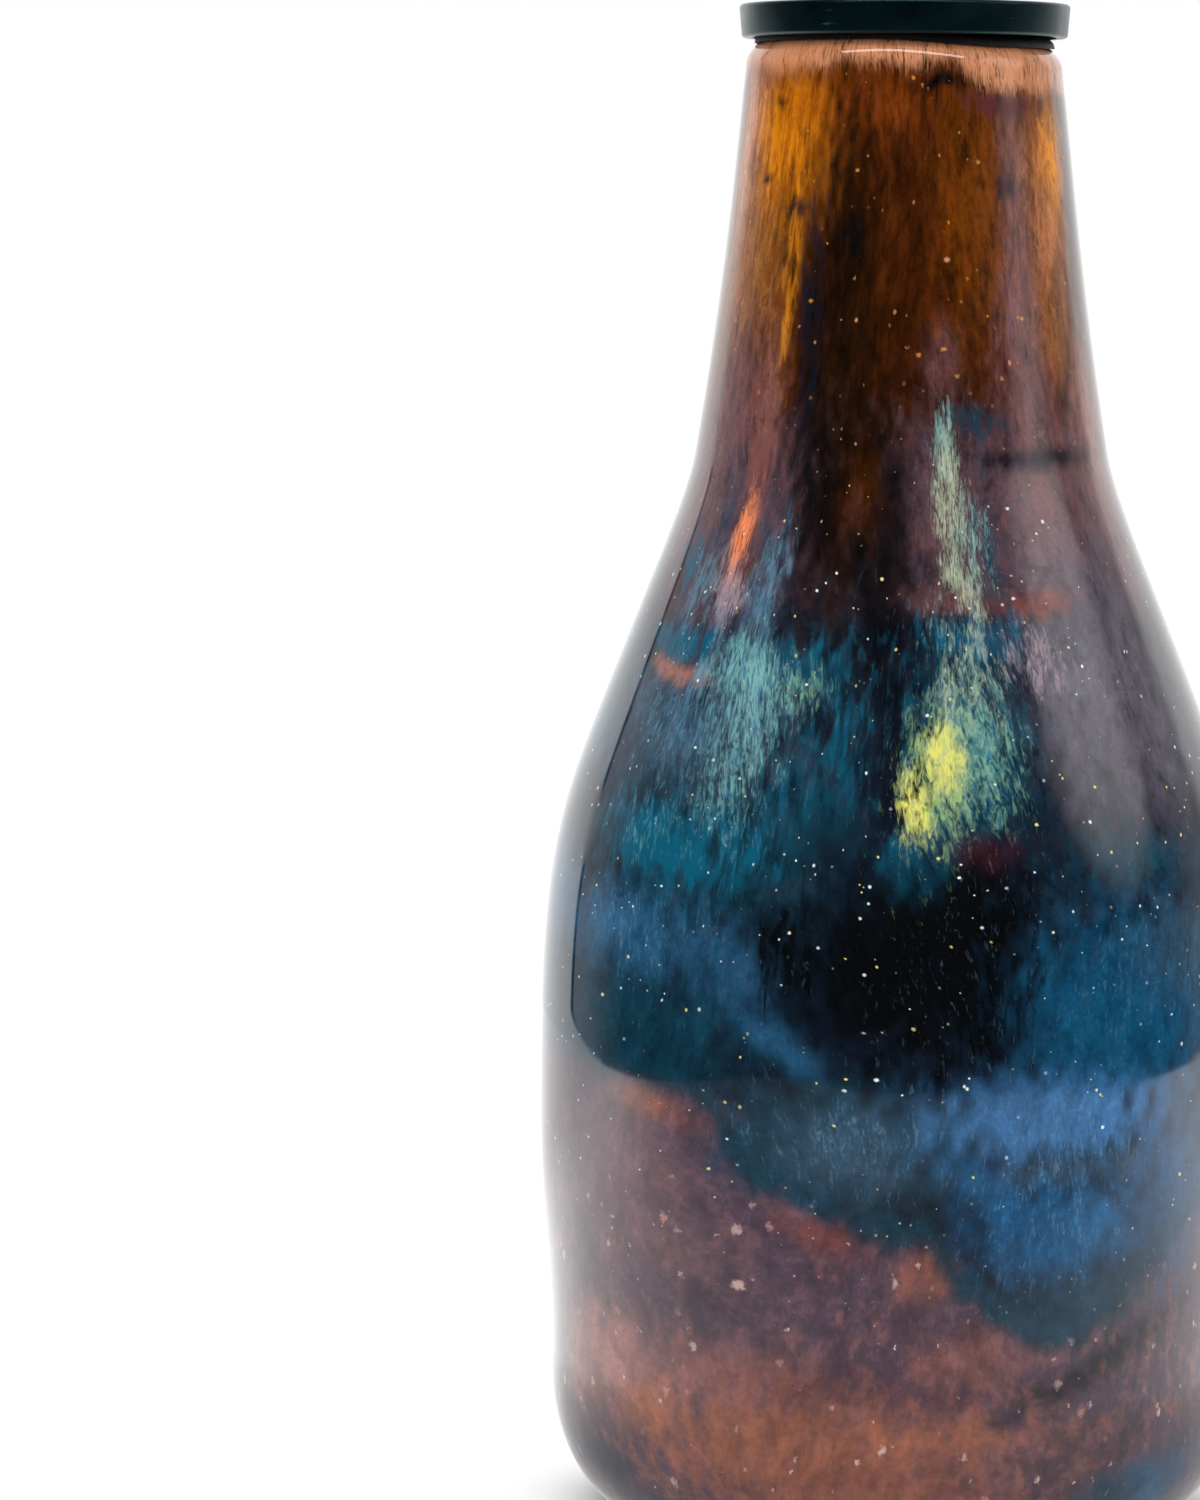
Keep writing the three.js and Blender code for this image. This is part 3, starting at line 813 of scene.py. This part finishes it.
def glaze_material():
    """Pools of glaze under runs and feathers that fine streaks break up, with spots, sparkles and pits."""
    material, g, shader = new_finish("running_glaze")
    lines = g.attribute("run_lines").outputs["Vector"]
    ground, mottle, runs, feathers = (g.attribute(n) for n in ("ground", "mottle", "runs", "feathers"))
    marks = g.attribute("marks")
    in_neck, sparkling, pitted = (g.channel(marks.outputs["Color"], k) for k in range(3))
    height = g.part(lines, "Z")

    streaks = g.noise(g.scaled(lines, (0.9, 0.9, 0.24)), 1.0, 5.0, 0.62, 0.5)
    fine_streaks = g.noise(g.scaled(lines, (3.1, 3.1, 0.8), (7, 3, 1)), 1.0, 4.0, 0.62, 1.0)
    clouds = g.noise(g.scaled(lines, (0.2, 0.2, 0.15)), 1.0, 4.0, 0.6)
    blots = g.noise(g.scaled(lines, (0.5, 0.5, 0.36), (1, 5, 2)), 1.0, 5.0, 0.68, 0.35)
    grain = g.noise(lines, 1.7, 3.0, 0.65)

    # The ground, mottled, and shaded by clouds, grain, blots and streaks.
    blotted = g.times(g.ramp(blots, 0.48, 0.66), mottle.outputs["Alpha"])
    colour = g.blend(blotted, ground.outputs["Color"], mottle.outputs["Color"])
    shade = g.ramp(clouds, 0.3, 0.7, 0.7, 1.3, False)
    fine_shade = g.ramp(grain, 0.3, 0.7, 0.82, 1.18, False)
    blot_shade = g.ramp(blots, 0.3, 0.5, g.ramp(height, 48, 64, 0.8, 0.5), 1.05)
    depth = g.ramp(in_neck, 0.0, 1.0, 0.18, 0.45, False)
    shallow, deep = g.plus(1.0, depth), g.maths("SUBTRACT", 1.0, depth)
    streak_shade = g.ramp(streaks, 0.3, 0.7, deep, shallow, False)
    all_shade = g.times(g.times(shade, fine_shade), streak_shade)
    colour = g.blend(1.0, colour, g.times(all_shade, blot_shade), "MULTIPLY")

    # Runs, which the streaks break up.
    patchy = g.ramp(clouds, 0.3, 0.7, 0.75, 1.25, False)
    run_cover = g.times(runs.outputs["Alpha"], patchy)
    run_break = g.plus(run_cover, g.ramp(streaks, 0.28, 0.72, 0.0, 1.0, False))
    colour = g.blend(g.ramp(run_break, 0.6, 1.5), colour, runs.outputs["Color"])

    # Feathers, which finer streaks break up and strokes of other blues tinge.
    mixed = g.plus(g.times(streaks, 0.3), g.times(fine_streaks, 0.7))
    strokes = g.noise(g.scaled(lines, (1.8, 1.8, 0.45), (3, 8, 6)), 1.0, 3.0, 0.6, 0.8)
    greener = g.times(g.ramp(strokes, 0.5, 0.62, 0.0, 0.65), marks.outputs["Alpha"])
    bluer = g.times(g.ramp(strokes, 0.46, 0.36, 0.0, 0.65), marks.outputs["Alpha"])
    feather_colour = g.blend(greener, feathers.outputs["Color"], GLAZE["teal"])
    feather_colour = g.blend(bluer, feather_colour, GLAZE["cyan"])
    feather_cover = g.times(feathers.outputs["Alpha"], patchy)
    feather_break = g.plus(feather_cover, g.ramp(mixed, 0.34, 0.66, 0.0, 1.0, False))
    thin = g.ramp(feathers.outputs["Alpha"], 0.0, 0.8, 0.45, 1.0, False)
    feather_share = g.times(g.ramp(feather_break, 0.7, 1.5), thin)
    colour = g.blend(feather_share, colour, feather_colour)

    # Rosy and dusky speckles low on the pot.
    speckles = g.noise(g.scaled(lines, (0.55, 0.55, 0.4), (5, 2, 9)), 1.0, 3.0, 0.55)
    rosy = g.times(g.ramp(speckles, 0.5, 0.74, 0.0, 0.3), pitted)
    colour = g.blend(rosy, colour, GLAZE["blush"])
    dusky = g.times(g.ramp(speckles, 0.5, 0.3, 0.0, 0.22), pitted)
    colour = g.blend(dusky, colour, GLAZE["smoke"])

    # Spots in the neck.
    spot_place = g.shaken(g.scaled(lines, (1.0, 1.0, 1.5), (2, 9, 4)), 2.5, 0.5)
    spot, spot_lot = dots(g, spot_place, 0.8, (0.12, 0.38), 1.0, 0.3, (0.84, 0.98, 0.0, 0.75))
    spot_colour = g.blend(spot_lot, GLAZE["spot_gold"], GLAZE["spot_peach"])
    colour = g.blend(g.times(spot, in_neck), colour, spot_colour)

    # Sparkles, gathered in clouds.
    sparkle, sparkle_lot = dots(g, g.shaken(lines, 4.0, 0.15), 1.7, (0.15, 0.39), 2.0, 0.4, (0.88, 0.91))
    gathered = g.ramp(clouds, 0.4, 0.55, 0.15, 1.0)
    tint = g.blend(g.ramp(sparkle_lot, 0.5, 0.7), GLAZE["sparkle_white"], GLAZE["sparkle_straw"])
    colour = g.blend(g.times(sparkle, g.times(sparkling, gathered)), colour, tint)

    # Pits low on the pot.
    pit_place = g.shaken(g.scaled(lines, (1.0, 1.0, 0.72), (4, 1, 8)), 3.2, 0.8)
    pit, pit_lot = dots(g, pit_place, 0.8, (0.12, 0.4), 2.5, 0.4, (0.4, 0.8))
    pit = g.times(pit, pitted)
    pit_colour = g.blend(pit_lot, GLAZE["pit_rose"], GLAZE["pit_pale"])
    colour = g.blend(g.times(pit, 0.75), colour, pit_colour)

    # Bare clay under the foot, and the gloss.
    clay = g.blend(g.ramp(grain, 0.35, 0.65), GLAZE["dark_clay"], GLAZE["pale_clay"])
    colour = g.blend(ground.outputs["Alpha"], clay, colour)
    g.join(colour, shader.inputs["Base Color"])
    smooth = g.ramp(height, 124, 132, 0.11, 0.035)
    smooth = g.ramp(in_neck, 0.0, 1.0, 0.035, smooth, False)
    g.join(g.ramp(ground.outputs["Alpha"], 0.0, 1.0, 0.75, smooth), shader.inputs["Roughness"])
    shader.inputs["IOR"].default_value = 1.5
    g.join(g.bump(g.maths("SUBTRACT", 1.0, pit), 0.00003, 0.2), shader.inputs["Normal"])
    return material


def bottle_outline():
    """The pot's section: recessed foot, outside wall, rounded lip, bore, inside wall and floor."""
    lip_round = LIP_WALL / 2
    lip_height = BOTTLE_HEIGHT - lip_round
    heel_turn = np.radians(np.linspace(-90, 0, 60))
    heel = np.c_[
        FOOT_RADIUS + (HEEL_RADIUS - FOOT_RADIUS) * np.cos(heel_turn),
        HEEL_HEIGHT + HEEL_HEIGHT * np.sin(heel_turn),
    ]
    heel_top = (HEEL_RADIUS, HEEL_HEIGHT, 0.0)
    belly = (BELLY_RADIUS, BELLY_HEIGHT, 0.0)
    shoulder = (SHOULDER_RADIUS, SHOULDER_HEIGHT, SHOULDER_LEAN)
    neck_root = (NECK_ROOT_RADIUS, NECK_ROOT_HEIGHT, NECK_ROOT_LEAN)
    neck_top = (MOUTH_RADIUS + LIP_WALL, lip_height, NECK_TOP_LEAN)
    outside = joined(
        heel,
        wall(heel_top, belly, *LOWER_BELLY_HOLDS),
        wall(belly, shoulder, *UPPER_BELLY_HOLDS),
        wall(shoulder, neck_root, *SHOULDER_HOLDS),
        wall(neck_root, neck_top, *NECK_HOLDS),
    )
    lip = arc(MOUTH_RADIUS + lip_round, lip_height, lip_round, 0, 180, 60)
    along = np.gradient(outside, axis=0)
    along /= np.hypot(*along.T)[:, None]
    inside = outside + BODY_WALL * np.c_[-along[:, 1], along[:, 0]]
    in_room = (inside[:, 1] > FLOOR_THICKNESS) & (inside[:, 1] < BORE_END - BODY_WALL)
    inside = inside[in_room & (inside[:, 0] > MOUTH_RADIUS)][::-1]
    foot_inner = FOOT_RADIUS - FOOT_RING_WIDTH
    recess = np.array([(0.0, FOOT_RECESS_DEPTH), (foot_inner - FOOT_RECESS_DEPTH, FOOT_RECESS_DEPTH)])
    bore = np.array([(MOUTH_RADIUS, lip_height), (MOUTH_RADIUS, BORE_END)])
    floor_inside = np.array([(inside[-1, 0] - BODY_WALL / 2, FLOOR_THICKNESS), (0.0, FLOOR_THICKNESS)])
    return joined(
        even(recess, FLAT_SPACING),
        (foot_inner, 0.0),
        even(outside, OUTSIDE_SPACING),
        even(lip, LIP_SPACING),
        even(bore, INSIDE_SPACING),
        even(inside, INSIDE_SPACING),
        even(floor_inside, FLAT_SPACING),
    )


def lip_dip(angle):
    """How far the lip dips at an angle in degrees: not at the left and the back, by LIP_DIP at the right."""
    start, whole, still_whole, end = LIP_DIP_ANGLES
    return LIP_DIP * smooth_step(start, whole, angle) * (1 - smooth_step(still_whole, end, angle))


def glazed_bottle(material):
    """The thrown pot: its outline spun about Z, drawn in by a slow wobble, with the glaze's fields on it."""
    outline = bottle_outline()
    t = np.linspace(-np.pi, np.pi, BOTTLE_COLUMNS, endpoint=False)
    angles = t - FRONT_CROWDING * np.sin(t)
    points = spun(outline[1:-1], angles)
    rows = len(outline) - 2
    angle = np.broadcast_to(np.degrees(angles), (rows, BOTTLE_COLUMNS))
    height = points[..., 2].copy()
    slow = wander(angle, height, seed=11, reach=0.5, waves=SLOW_WAVES)
    drawn_in = 1 - WOBBLE / BELLY_RADIUS * (0.5 + 0.5 * np.tanh(slow))
    points[..., :2] *= drawn_in[..., None]
    points[..., 2] -= lip_dip(angle) * smooth_step(*LIP_DIP_HEIGHTS, height)
    faces = grid_faces(rows, BOTTLE_COLUMNS)
    bottom, top = rows * BOTTLE_COLUMNS, rows * BOTTLE_COLUMNS + 1
    column = np.arange(BOTTLE_COLUMNS)
    onward = (column + 1) % BOTTLE_COLUMNS
    last = (rows - 1) * BOTTLE_COLUMNS
    foot_fan = np.c_[np.full(BOTTLE_COLUMNS, bottom), onward, column]
    floor_fan = np.c_[np.full(BOTTLE_COLUMNS, top), last + column, last + onward]
    poles = np.array([(0, 0, outline[0, 1]), (0, 0, outline[-1, 1])])
    everything = np.concatenate([points.reshape(-1, 3), poles])
    pot = piece("glazed_bottle", everything, [*faces, *foot_fan, *floor_fan], material, 60.0)

    fields = glaze_fields(angle, height)
    fanned = wander(angle, height, seed=7, reach=0.5)
    fanned += wander(angle, height, seed=8, reach=2.2, waves=SLOW_WAVES)
    round_pot = np.radians(angle + fanned)
    across, ahead = RUN_LINES_RADIUS * np.sin(round_pot), RUN_LINES_RADIUS * np.cos(round_pot)
    fields["run_lines"] = np.stack([across, -ahead, height], -1)
    for name, values in fields.items():
        width = values.shape[-1]
        flat = np.concatenate([values.reshape(-1, width), np.zeros((2, width))])
        kind, member = ("FLOAT_COLOR", "color") if width == 4 else ("FLOAT_VECTOR", "vector")
        field = pot.data.attributes.new(name, kind, "POINT")
        field.data.foreach_set(member, flat.astype(np.float32).ravel())
    return pot


# Stopper.

def collar_outline():
    """A bored disc with a hanging rim, soft edges and a seat on top, on a stem with a bead at its end."""
    lower = COLLAR_RADIUS - COLLAR_DRAFT
    soft = COLLAR_EDGE_ROUND
    seat = COLLAR_TOP - SEAT_DEPTH
    bead = STEM_RADIUS + STEM_BEAD_PROUD
    return joined(
        [(COLLAR_BORE, STEM_END), (STEM_RADIUS, STEM_END)],
        [(bead, STEM_END + STEM_BEAD_HEIGHT * STEM_BEAD_SLOPE), (bead, STEM_END + STEM_BEAD_HEIGHT)],
        [(STEM_RADIUS, STEM_END + STEM_BEAD_HEIGHT), (STEM_RADIUS, COLLAR_UNDERSIDE)],
        [(COLLAR_RIM_INSIDE, COLLAR_UNDERSIDE), (COLLAR_RIM_INSIDE, COLLAR_BOTTOM)],
        arc(lower - soft, COLLAR_BOTTOM + soft, soft, -90, 0, 7),
        arc(COLLAR_RADIUS - soft, COLLAR_TOP - soft, soft, 0, 90, 7),
        [(SEAT_RADIUS, COLLAR_TOP), (SEAT_RADIUS, seat), (COLLAR_BORE, seat)],
    )


def sleeve_outline():
    """A sleeve with raked fins, whose brim wraps over the crown of the lip."""
    lip_round = LIP_WALL / 2
    centre_r, centre_z = MOUTH_RADIUS + lip_round, BOTTLE_HEIGHT - lip_round
    under = arc(centre_r, centre_z, lip_round + BRIM_GAP, 90 + BRIM_ROOT_DEGREES, 90 - BRIM_WRAP_DEGREES, 24)
    edge = under[-1]
    over = bezier([edge, (edge[0], BRIM_TOP), (centre_r, BRIM_TOP)], 10)
    fins = []
    for k in range(FIN_COUNT - 1, -1, -1):
        root = centre_z - FIN_PITCH - k * FIN_PITCH
        reach = MOUTH_RADIUS - FIN_CLEARANCE - FIN_TAPER * k / FIN_COUNT
        fins += [
            (SLEEVE_RADIUS, root - FIN_THICKNESS),
            (reach, root + FIN_RAKE - FIN_THICKNESS),
            (reach, root + FIN_RAKE - FIN_THICKNESS * FIN_DRAFT),
            (SLEEVE_RADIUS, root + FIN_THICKNESS * FIN_DRAFT),
        ]
    bevel = (SLEEVE_RADIUS - SLEEVE_BORE) * np.array(SLEEVE_BEVEL)
    return joined(
        [(SLEEVE_BORE, SLEEVE_END), (SLEEVE_RADIUS - bevel[0], SLEEVE_END)],
        [(SLEEVE_RADIUS, SLEEVE_END + bevel[1])],
        fins,
        [(SLEEVE_RADIUS, centre_z)],
        under,
        over,
        [(SLEEVE_BORE, BRIM_TOP)],
    )


def sleeve_piece(material):
    """The sleeve's outline spun about Z, its brim lowered with the lip from the crown outwards."""
    turn = np.linspace(-np.pi, np.pi, STOPPER_COLUMNS, endpoint=False)
    outline = sleeve_outline()
    points = spun(outline, turn)
    on_crown = smooth_step(MOUTH_RADIUS, MOUTH_RADIUS + LIP_WALL / 2, outline[:, 0])
    points[..., 2] -= np.outer(on_crown, lip_dip(np.degrees(turn)))
    return piece("finned_sleeve", points, grid_faces(len(outline), STOPPER_COLUMNS, True), material)


def ferrule_outline():
    """A hollow-curved cone with a flat rim, bored for the spout."""
    rim = FERRULE_BORE + FERRULE_RIM
    foot = FERRULE_BOTTOM + FERRULE_EDGE
    return joined(
        [(FERRULE_BORE, FERRULE_BOTTOM), (FERRULE_RADIUS, FERRULE_BOTTOM)],
        bezier([(FERRULE_RADIUS, foot), (rim, foot), (rim, FERRULE_TOP)], 24),
        [(FERRULE_BORE, FERRULE_TOP)],
    )


# Pourer.

def spout_piece(material):
    """A tapered tube, flared at its end, bent over and cut on the slant: up its outside, back down inside."""
    angles = np.linspace(0.0, 2 * np.pi, SPOUT_COLUMNS, endpoint=False)
    arc_length = SPOUT_BEND_RADIUS * math.radians(SPOUT_BEND_DEGREES)
    tip = SPOUT_BEND_START + arc_length + SPOUT_REACH
    slant = math.tan(math.radians(SPOUT_TIP_SLANT_DEGREES))
    cut = tip - SPOUT_TIP_RADIUS * slant
    last_square = cut - 2 * SPOUT_RADIUS * slant
    heights = np.r_[
        SPOUT_END,
        SPOUT_END + SPOUT_FLARE_HEIGHT,
        np.linspace(SPOUT_BEND_START - SPOUT_RING_LEAD, last_square, SPOUT_RINGS),
    ]

    def radius_at(z):
        taper = np.maximum(0.0, z - SPOUT_BEND_START) / (tip - SPOUT_BEND_START)
        return SPOUT_RADIUS + (SPOUT_TIP_RADIUS - SPOUT_RADIUS) * taper

    def skin(inset):
        r = radius_at(heights) - inset
        r[0] += SPOUT_FLARE
        rings = spun(np.c_[r, heights], angles)
        end_r = radius_at(cut) - inset
        across = end_r * np.sin(angles)
        share = np.linspace(0.0, 1.0, SPOUT_SLANT_RINGS + 1)[1:, None]
        ends = last_square + share * (cut - across * slant - last_square)
        ring_r = radius_at(ends) - inset
        ring = np.stack([ring_r * np.sin(angles), -ring_r * np.cos(angles), ends], -1)
        return np.concatenate([rings, ring])

    outside, inside = skin(0.0), skin(SPOUT_WALL)
    points = np.concatenate([outside, inside[::-1]])
    points = bent(points, SPOUT_BEND_START, SPOUT_BEND_RADIUS, SPOUT_BEND_DEGREES, -1)
    return piece("steel_spout", points, grid_faces(len(points), SPOUT_COLUMNS, True), material, 35.0)


def breather_piece(material):
    """A thin tube that stands beside the axis, then bends outwards through the back of the spout."""
    turn = math.radians(BREATHER_BEND_DEGREES)
    to_wall = SPOUT_RADIUS - BREATHER_OFFSET - BREATHER_BEND_RADIUS * (1 - math.cos(turn))
    run = max(0.0, to_wall) / math.sin(turn) + BREATHER_RADIUS / math.tan(turn) + BREATHER_PROUD
    tip = BREATHER_BEND_START + BREATHER_BEND_RADIUS * turn + run
    bend = np.linspace(BREATHER_BEND_START - BREATHER_RING_LEAD, tip, BREATHER_RINGS)
    heights = np.r_[BREATHER_BOTTOM, bend]
    bore = BREATHER_RADIUS - BREATHER_WALL
    outline = np.concatenate([
        np.c_[np.full_like(heights, BREATHER_RADIUS), heights],
        np.c_[np.full_like(heights, bore), heights][::-1],
    ])
    angles = np.linspace(0.0, 2 * np.pi, BREATHER_COLUMNS, endpoint=False)
    points = bent(spun(outline, angles), BREATHER_BEND_START, BREATHER_BEND_RADIUS, BREATHER_BEND_DEGREES, 1)
    points[..., 0] += BREATHER_OFFSET
    return piece("air_tube", points, grid_faces(len(outline), BREATHER_COLUMNS, True), material, 35.0)


def collar_material():
    """Black moulded plastic: a satin skin with faint cloudiness, fine scuffs and a few pale nicks."""
    material, g, shader = new_finish("satin_black_plastic")
    place = g.object_place()
    clouds = g.noise(place, 160.0, 3.0)
    colour = g.blend(g.ramp(clouds, 0.35, 0.65), linear(0, 7, 10), linear(1, 14, 19))
    scuffs = g.ramp(g.noise(g.scaled(place, (220, 220, 1600)), 1.0, 4.0, 0.6), 0.66, 0.74)
    colour = g.blend(g.times(scuffs, 0.35), colour, linear(70, 86, 90))
    g.join(colour, shader.inputs["Base Color"])
    g.join(g.ramp(clouds, 0.3, 0.7, 0.26, 0.38), shader.inputs["Roughness"])
    shader.inputs["IOR"].default_value = 1.49
    shader.inputs["Specular IOR Level"].default_value = 0.35
    shader.inputs["Specular Tint"].default_value = (0.4, 0.9, 1.0, 1.0)
    g.join(g.bump(g.noise(place, 2600.0, 2.0), 0.00004, 0.25), shader.inputs["Normal"])
    return material


def rubber_material():
    """Matt black rubber with a fine moulded grain."""
    material, g, shader = new_finish("black_rubber")
    place = g.object_place()
    grain = g.noise(place, 1800.0, 3.0)
    colour = g.blend(g.ramp(grain, 0.35, 0.65), linear(8, 8, 9), linear(15, 16, 17))
    g.join(colour, shader.inputs["Base Color"])
    g.join(g.ramp(grain, 0.3, 0.7, 0.6, 0.75), shader.inputs["Roughness"])
    g.join(g.bump(grain, 0.00005, 0.3), shader.inputs["Normal"])
    return material


def steel_material():
    """Satin stainless steel with fine drawn lines and slight smears."""
    material, g, shader = new_finish("satin_steel")
    place = g.object_place()
    lines = g.noise(g.scaled(place, (2200, 2200, 90)), 1.0, 3.0, 0.6)
    smears = g.noise(place, 120.0, 3.0)
    colour = g.blend(g.ramp(smears, 0.3, 0.7), linear(170, 172, 174), linear(192, 193, 193))
    g.join(colour, shader.inputs["Base Color"])
    shader.inputs["Metallic"].default_value = 0.75
    rough = g.plus(g.ramp(lines, 0.3, 0.7, 0.22, 0.26), g.ramp(smears, 0.35, 0.7, 0.0, 0.05))
    g.join(rough, shader.inputs["Roughness"])
    return material


# Floor, light and camera.

def floor():
    """A plain white round floor that keeps the pot's shadow. In reflections it is a painted glow, palest
    beside the pot, with painted shade near its foot.
    """
    mesh = bpy.data.meshes.new("floor")
    turn = np.linspace(0.0, 2 * np.pi, FLOOR_SIDES, endpoint=False)
    edge = np.c_[FLOOR_RADIUS * np.cos(turn), FLOOR_RADIUS * np.sin(turn), np.zeros(FLOOR_SIDES)]
    mesh.from_pydata(edge.tolist(), [], [list(range(FLOOR_SIDES))])
    material, g, shader = new_finish("white_floor")
    g.nodes.remove(shader)
    paint = g.add("BsdfDiffuse", Color=(0.9, 0.9, 0.9, 1))
    place = g.object_place()
    backwards = g.part(place, "Y")
    distance = g.measure("LENGTH", place)
    path = g.add("LightPath")
    # Painted light: in reflections the floor glows most just behind the pot's middle, and painted shade dims
    # that glow near the pot's foot.
    beside = g.times(g.ramp(backwards, -0.14, 0.06, 0.25, 2.3), g.ramp(backwards, 0.07, 0.2, 1.0, 0.72))
    painted_foot_shade = g.ramp(distance, 0.035, 0.1, 0.4, 1.0, False)
    painted_glow = g.add("Emission", Strength=g.times(beside, painted_foot_shade))
    mirrored = g.mixed(path.outputs["Is Glossy Ray"], paint, painted_glow)
    white = g.add("Emission")
    # The camera finds white, but for the shadow close to the pot.
    far = g.ramp(distance, 0.025, 0.037)
    faded = g.mixed(g.times(far, path.outputs["Is Camera Ray"]), mirrored, white)
    g.join(faded.outputs[0], g.nodes["Material Output"].inputs["Surface"])
    mesh.materials.append(material)
    made = bpy.data.objects.new("floor", mesh)
    bpy.context.collection.objects.link(made)


def surroundings():
    """White to the camera. Reflections find a pale backdrop, its dark seam, a hazy window and a dim room."""
    world = bpy.data.worlds.new("studio")
    world.use_nodes = True
    bpy.context.scene.world = world
    g = Graph(world)
    background = g.nodes["Background"]
    way = g.add("TexCoord").outputs["Generated"]
    sideways, backwards, upwards = (g.part(way, axis) for axis in "XYZ")
    window = g.ramp(g.measure("DOT_PRODUCT", way, WINDOW_WAY), 0.925, 1.0, 0.0, WINDOW_GLOW)
    # The backdrop lies behind, and its lower corner is rounded.
    fall = g.ramp(upwards, -0.1035, -0.091, 1.0, 0.0, False)
    chord = g.maths("SQRT", g.maths("SUBTRACT", 1.0, g.times(fall, fall)))
    low = g.maths("SUBTRACT", 1.0, chord)
    depth = g.plus(backwards, g.times(low, 0.32))
    # Its edge is hard, with the seam before it, but soft to the right and in one band of height.
    right = g.ramp(sideways, -0.1, 0.1)
    raised = g.times(g.ramp(upwards, 0.04, 0.075), g.ramp(upwards, 0.15, 0.19, 1.0, 0.0))
    soft = g.maths("MAXIMUM", right, raised)
    seam = g.maths("MAXIMUM", g.ramp(depth, 0.6, 0.615, 1.0, 0.05), soft)
    room = g.times(g.ramp(backwards, 0.1, 0.55, 0.03, 0.6), seam)
    starts = g.ramp(soft, 0.0, 1.0, 0.625, 0.56, False)
    ends = g.ramp(soft, 0.0, 1.0, 0.645, 0.7, False)
    backdrop = g.ramp(depth, starts, ends, room, BACKDROP_GLOW)
    # Only reflections see all this: the camera finds white, and the pieces an even light.
    path = g.add("LightPath")
    mirrored = g.times(g.plus(backdrop, window), path.outputs["Is Glossy Ray"])
    level = g.times(g.maths("SUBTRACT", 1.0, path.outputs["Is Glossy Ray"]), ROOM_LIGHT)
    strength = g.maths("MAXIMUM", g.plus(level, mirrored), path.outputs["Is Camera Ray"])
    background.inputs["Color"].default_value = (1, 1, 1, 1)
    g.join(strength, background.inputs["Strength"])


def soft_light(name, place, aim, size, power, mirrored):
    """A rectangular lamp turned towards its aim, which reflections see or do not see."""
    lamp = bpy.data.lights.new(name, "AREA")
    lamp.shape = "RECTANGLE"
    lamp.size, lamp.size_y = size
    lamp.energy = power
    made = bpy.data.objects.new(name, lamp)
    made.location = place
    made.rotation_euler = (Vector(aim) - Vector(place)).to_track_quat("-Z", "Y").to_euler()
    made.visible_glossy = mirrored
    bpy.context.collection.objects.link(made)


def camera():
    """The camera of the photograph: just above the pot's middle, aimed left of it and slightly rolled."""
    place, aim = Vector(CAMERA_PLACE), Vector(CAMERA_AIM)
    roll = math.radians(CAMERA_ROLL_DEGREES)
    ahead = (aim - place).normalized()
    right = ahead.cross(Vector((0, 0, 1))).normalized()
    up = right.cross(ahead)
    turned_right = right * math.cos(roll) + up * math.sin(roll)
    turned_up = up * math.cos(roll) - right * math.sin(roll)
    data = bpy.data.cameras.new("camera")
    data.sensor_width = 36.0
    data.lens = CAMERA_LENS
    data.clip_start, data.clip_end = 0.01, 20.0
    made = bpy.data.objects.new("camera", data)
    made.matrix_world = Matrix((
        (turned_right.x, turned_up.x, -ahead.x, place.x),
        (turned_right.y, turned_up.y, -ahead.y, place.y),
        (turned_right.z, turned_up.z, -ahead.z, place.z),
        (0, 0, 0, 1),
    ))
    bpy.context.collection.objects.link(made)
    bpy.context.scene.camera = made


bpy.context.scene.view_settings.view_transform = "Standard"
camera()
surroundings()
floor()
soft_light("front_bar", (0.0, -0.49, 0.889), aim=(0, 0, 0.134), size=(1.4, 0.16), power=5.5, mirrored=True)
for name, side in (("left_fill", -0.8), ("right_fill", 0.8)):
    soft_light(name, (side, -0.5, 0.5), aim=(0, 0, 0.08), size=(0.6, 0.6), power=2.0, mirrored=False)

plastic, rubber, steel = collar_material(), rubber_material(), steel_material()
dressed = [
    (glazed_bottle(glaze_material()), "bottle", "bottle", "glaze"),
    (
        turned_piece("black_collar", collar_outline(), STOPPER_COLUMNS, plastic),
        "stopper", "stopper_collar", "collar_plastic",
    ),
    (sleeve_piece(rubber), "stopper", "sealing_sleeve", "sleeve_rubber"),
    (
        turned_piece("steel_ferrule", ferrule_outline(), FERRULE_COLUMNS, steel),
        "spout", "spout_ferrule", "steel",
    ),
    (spout_piece(steel), "spout", "pour_spout", "steel"),
    (breather_piece(steel), "spout", "breather_tube", "steel"),
]
for made, body, node, slot in dressed:
    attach(made, body)
    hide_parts(node)
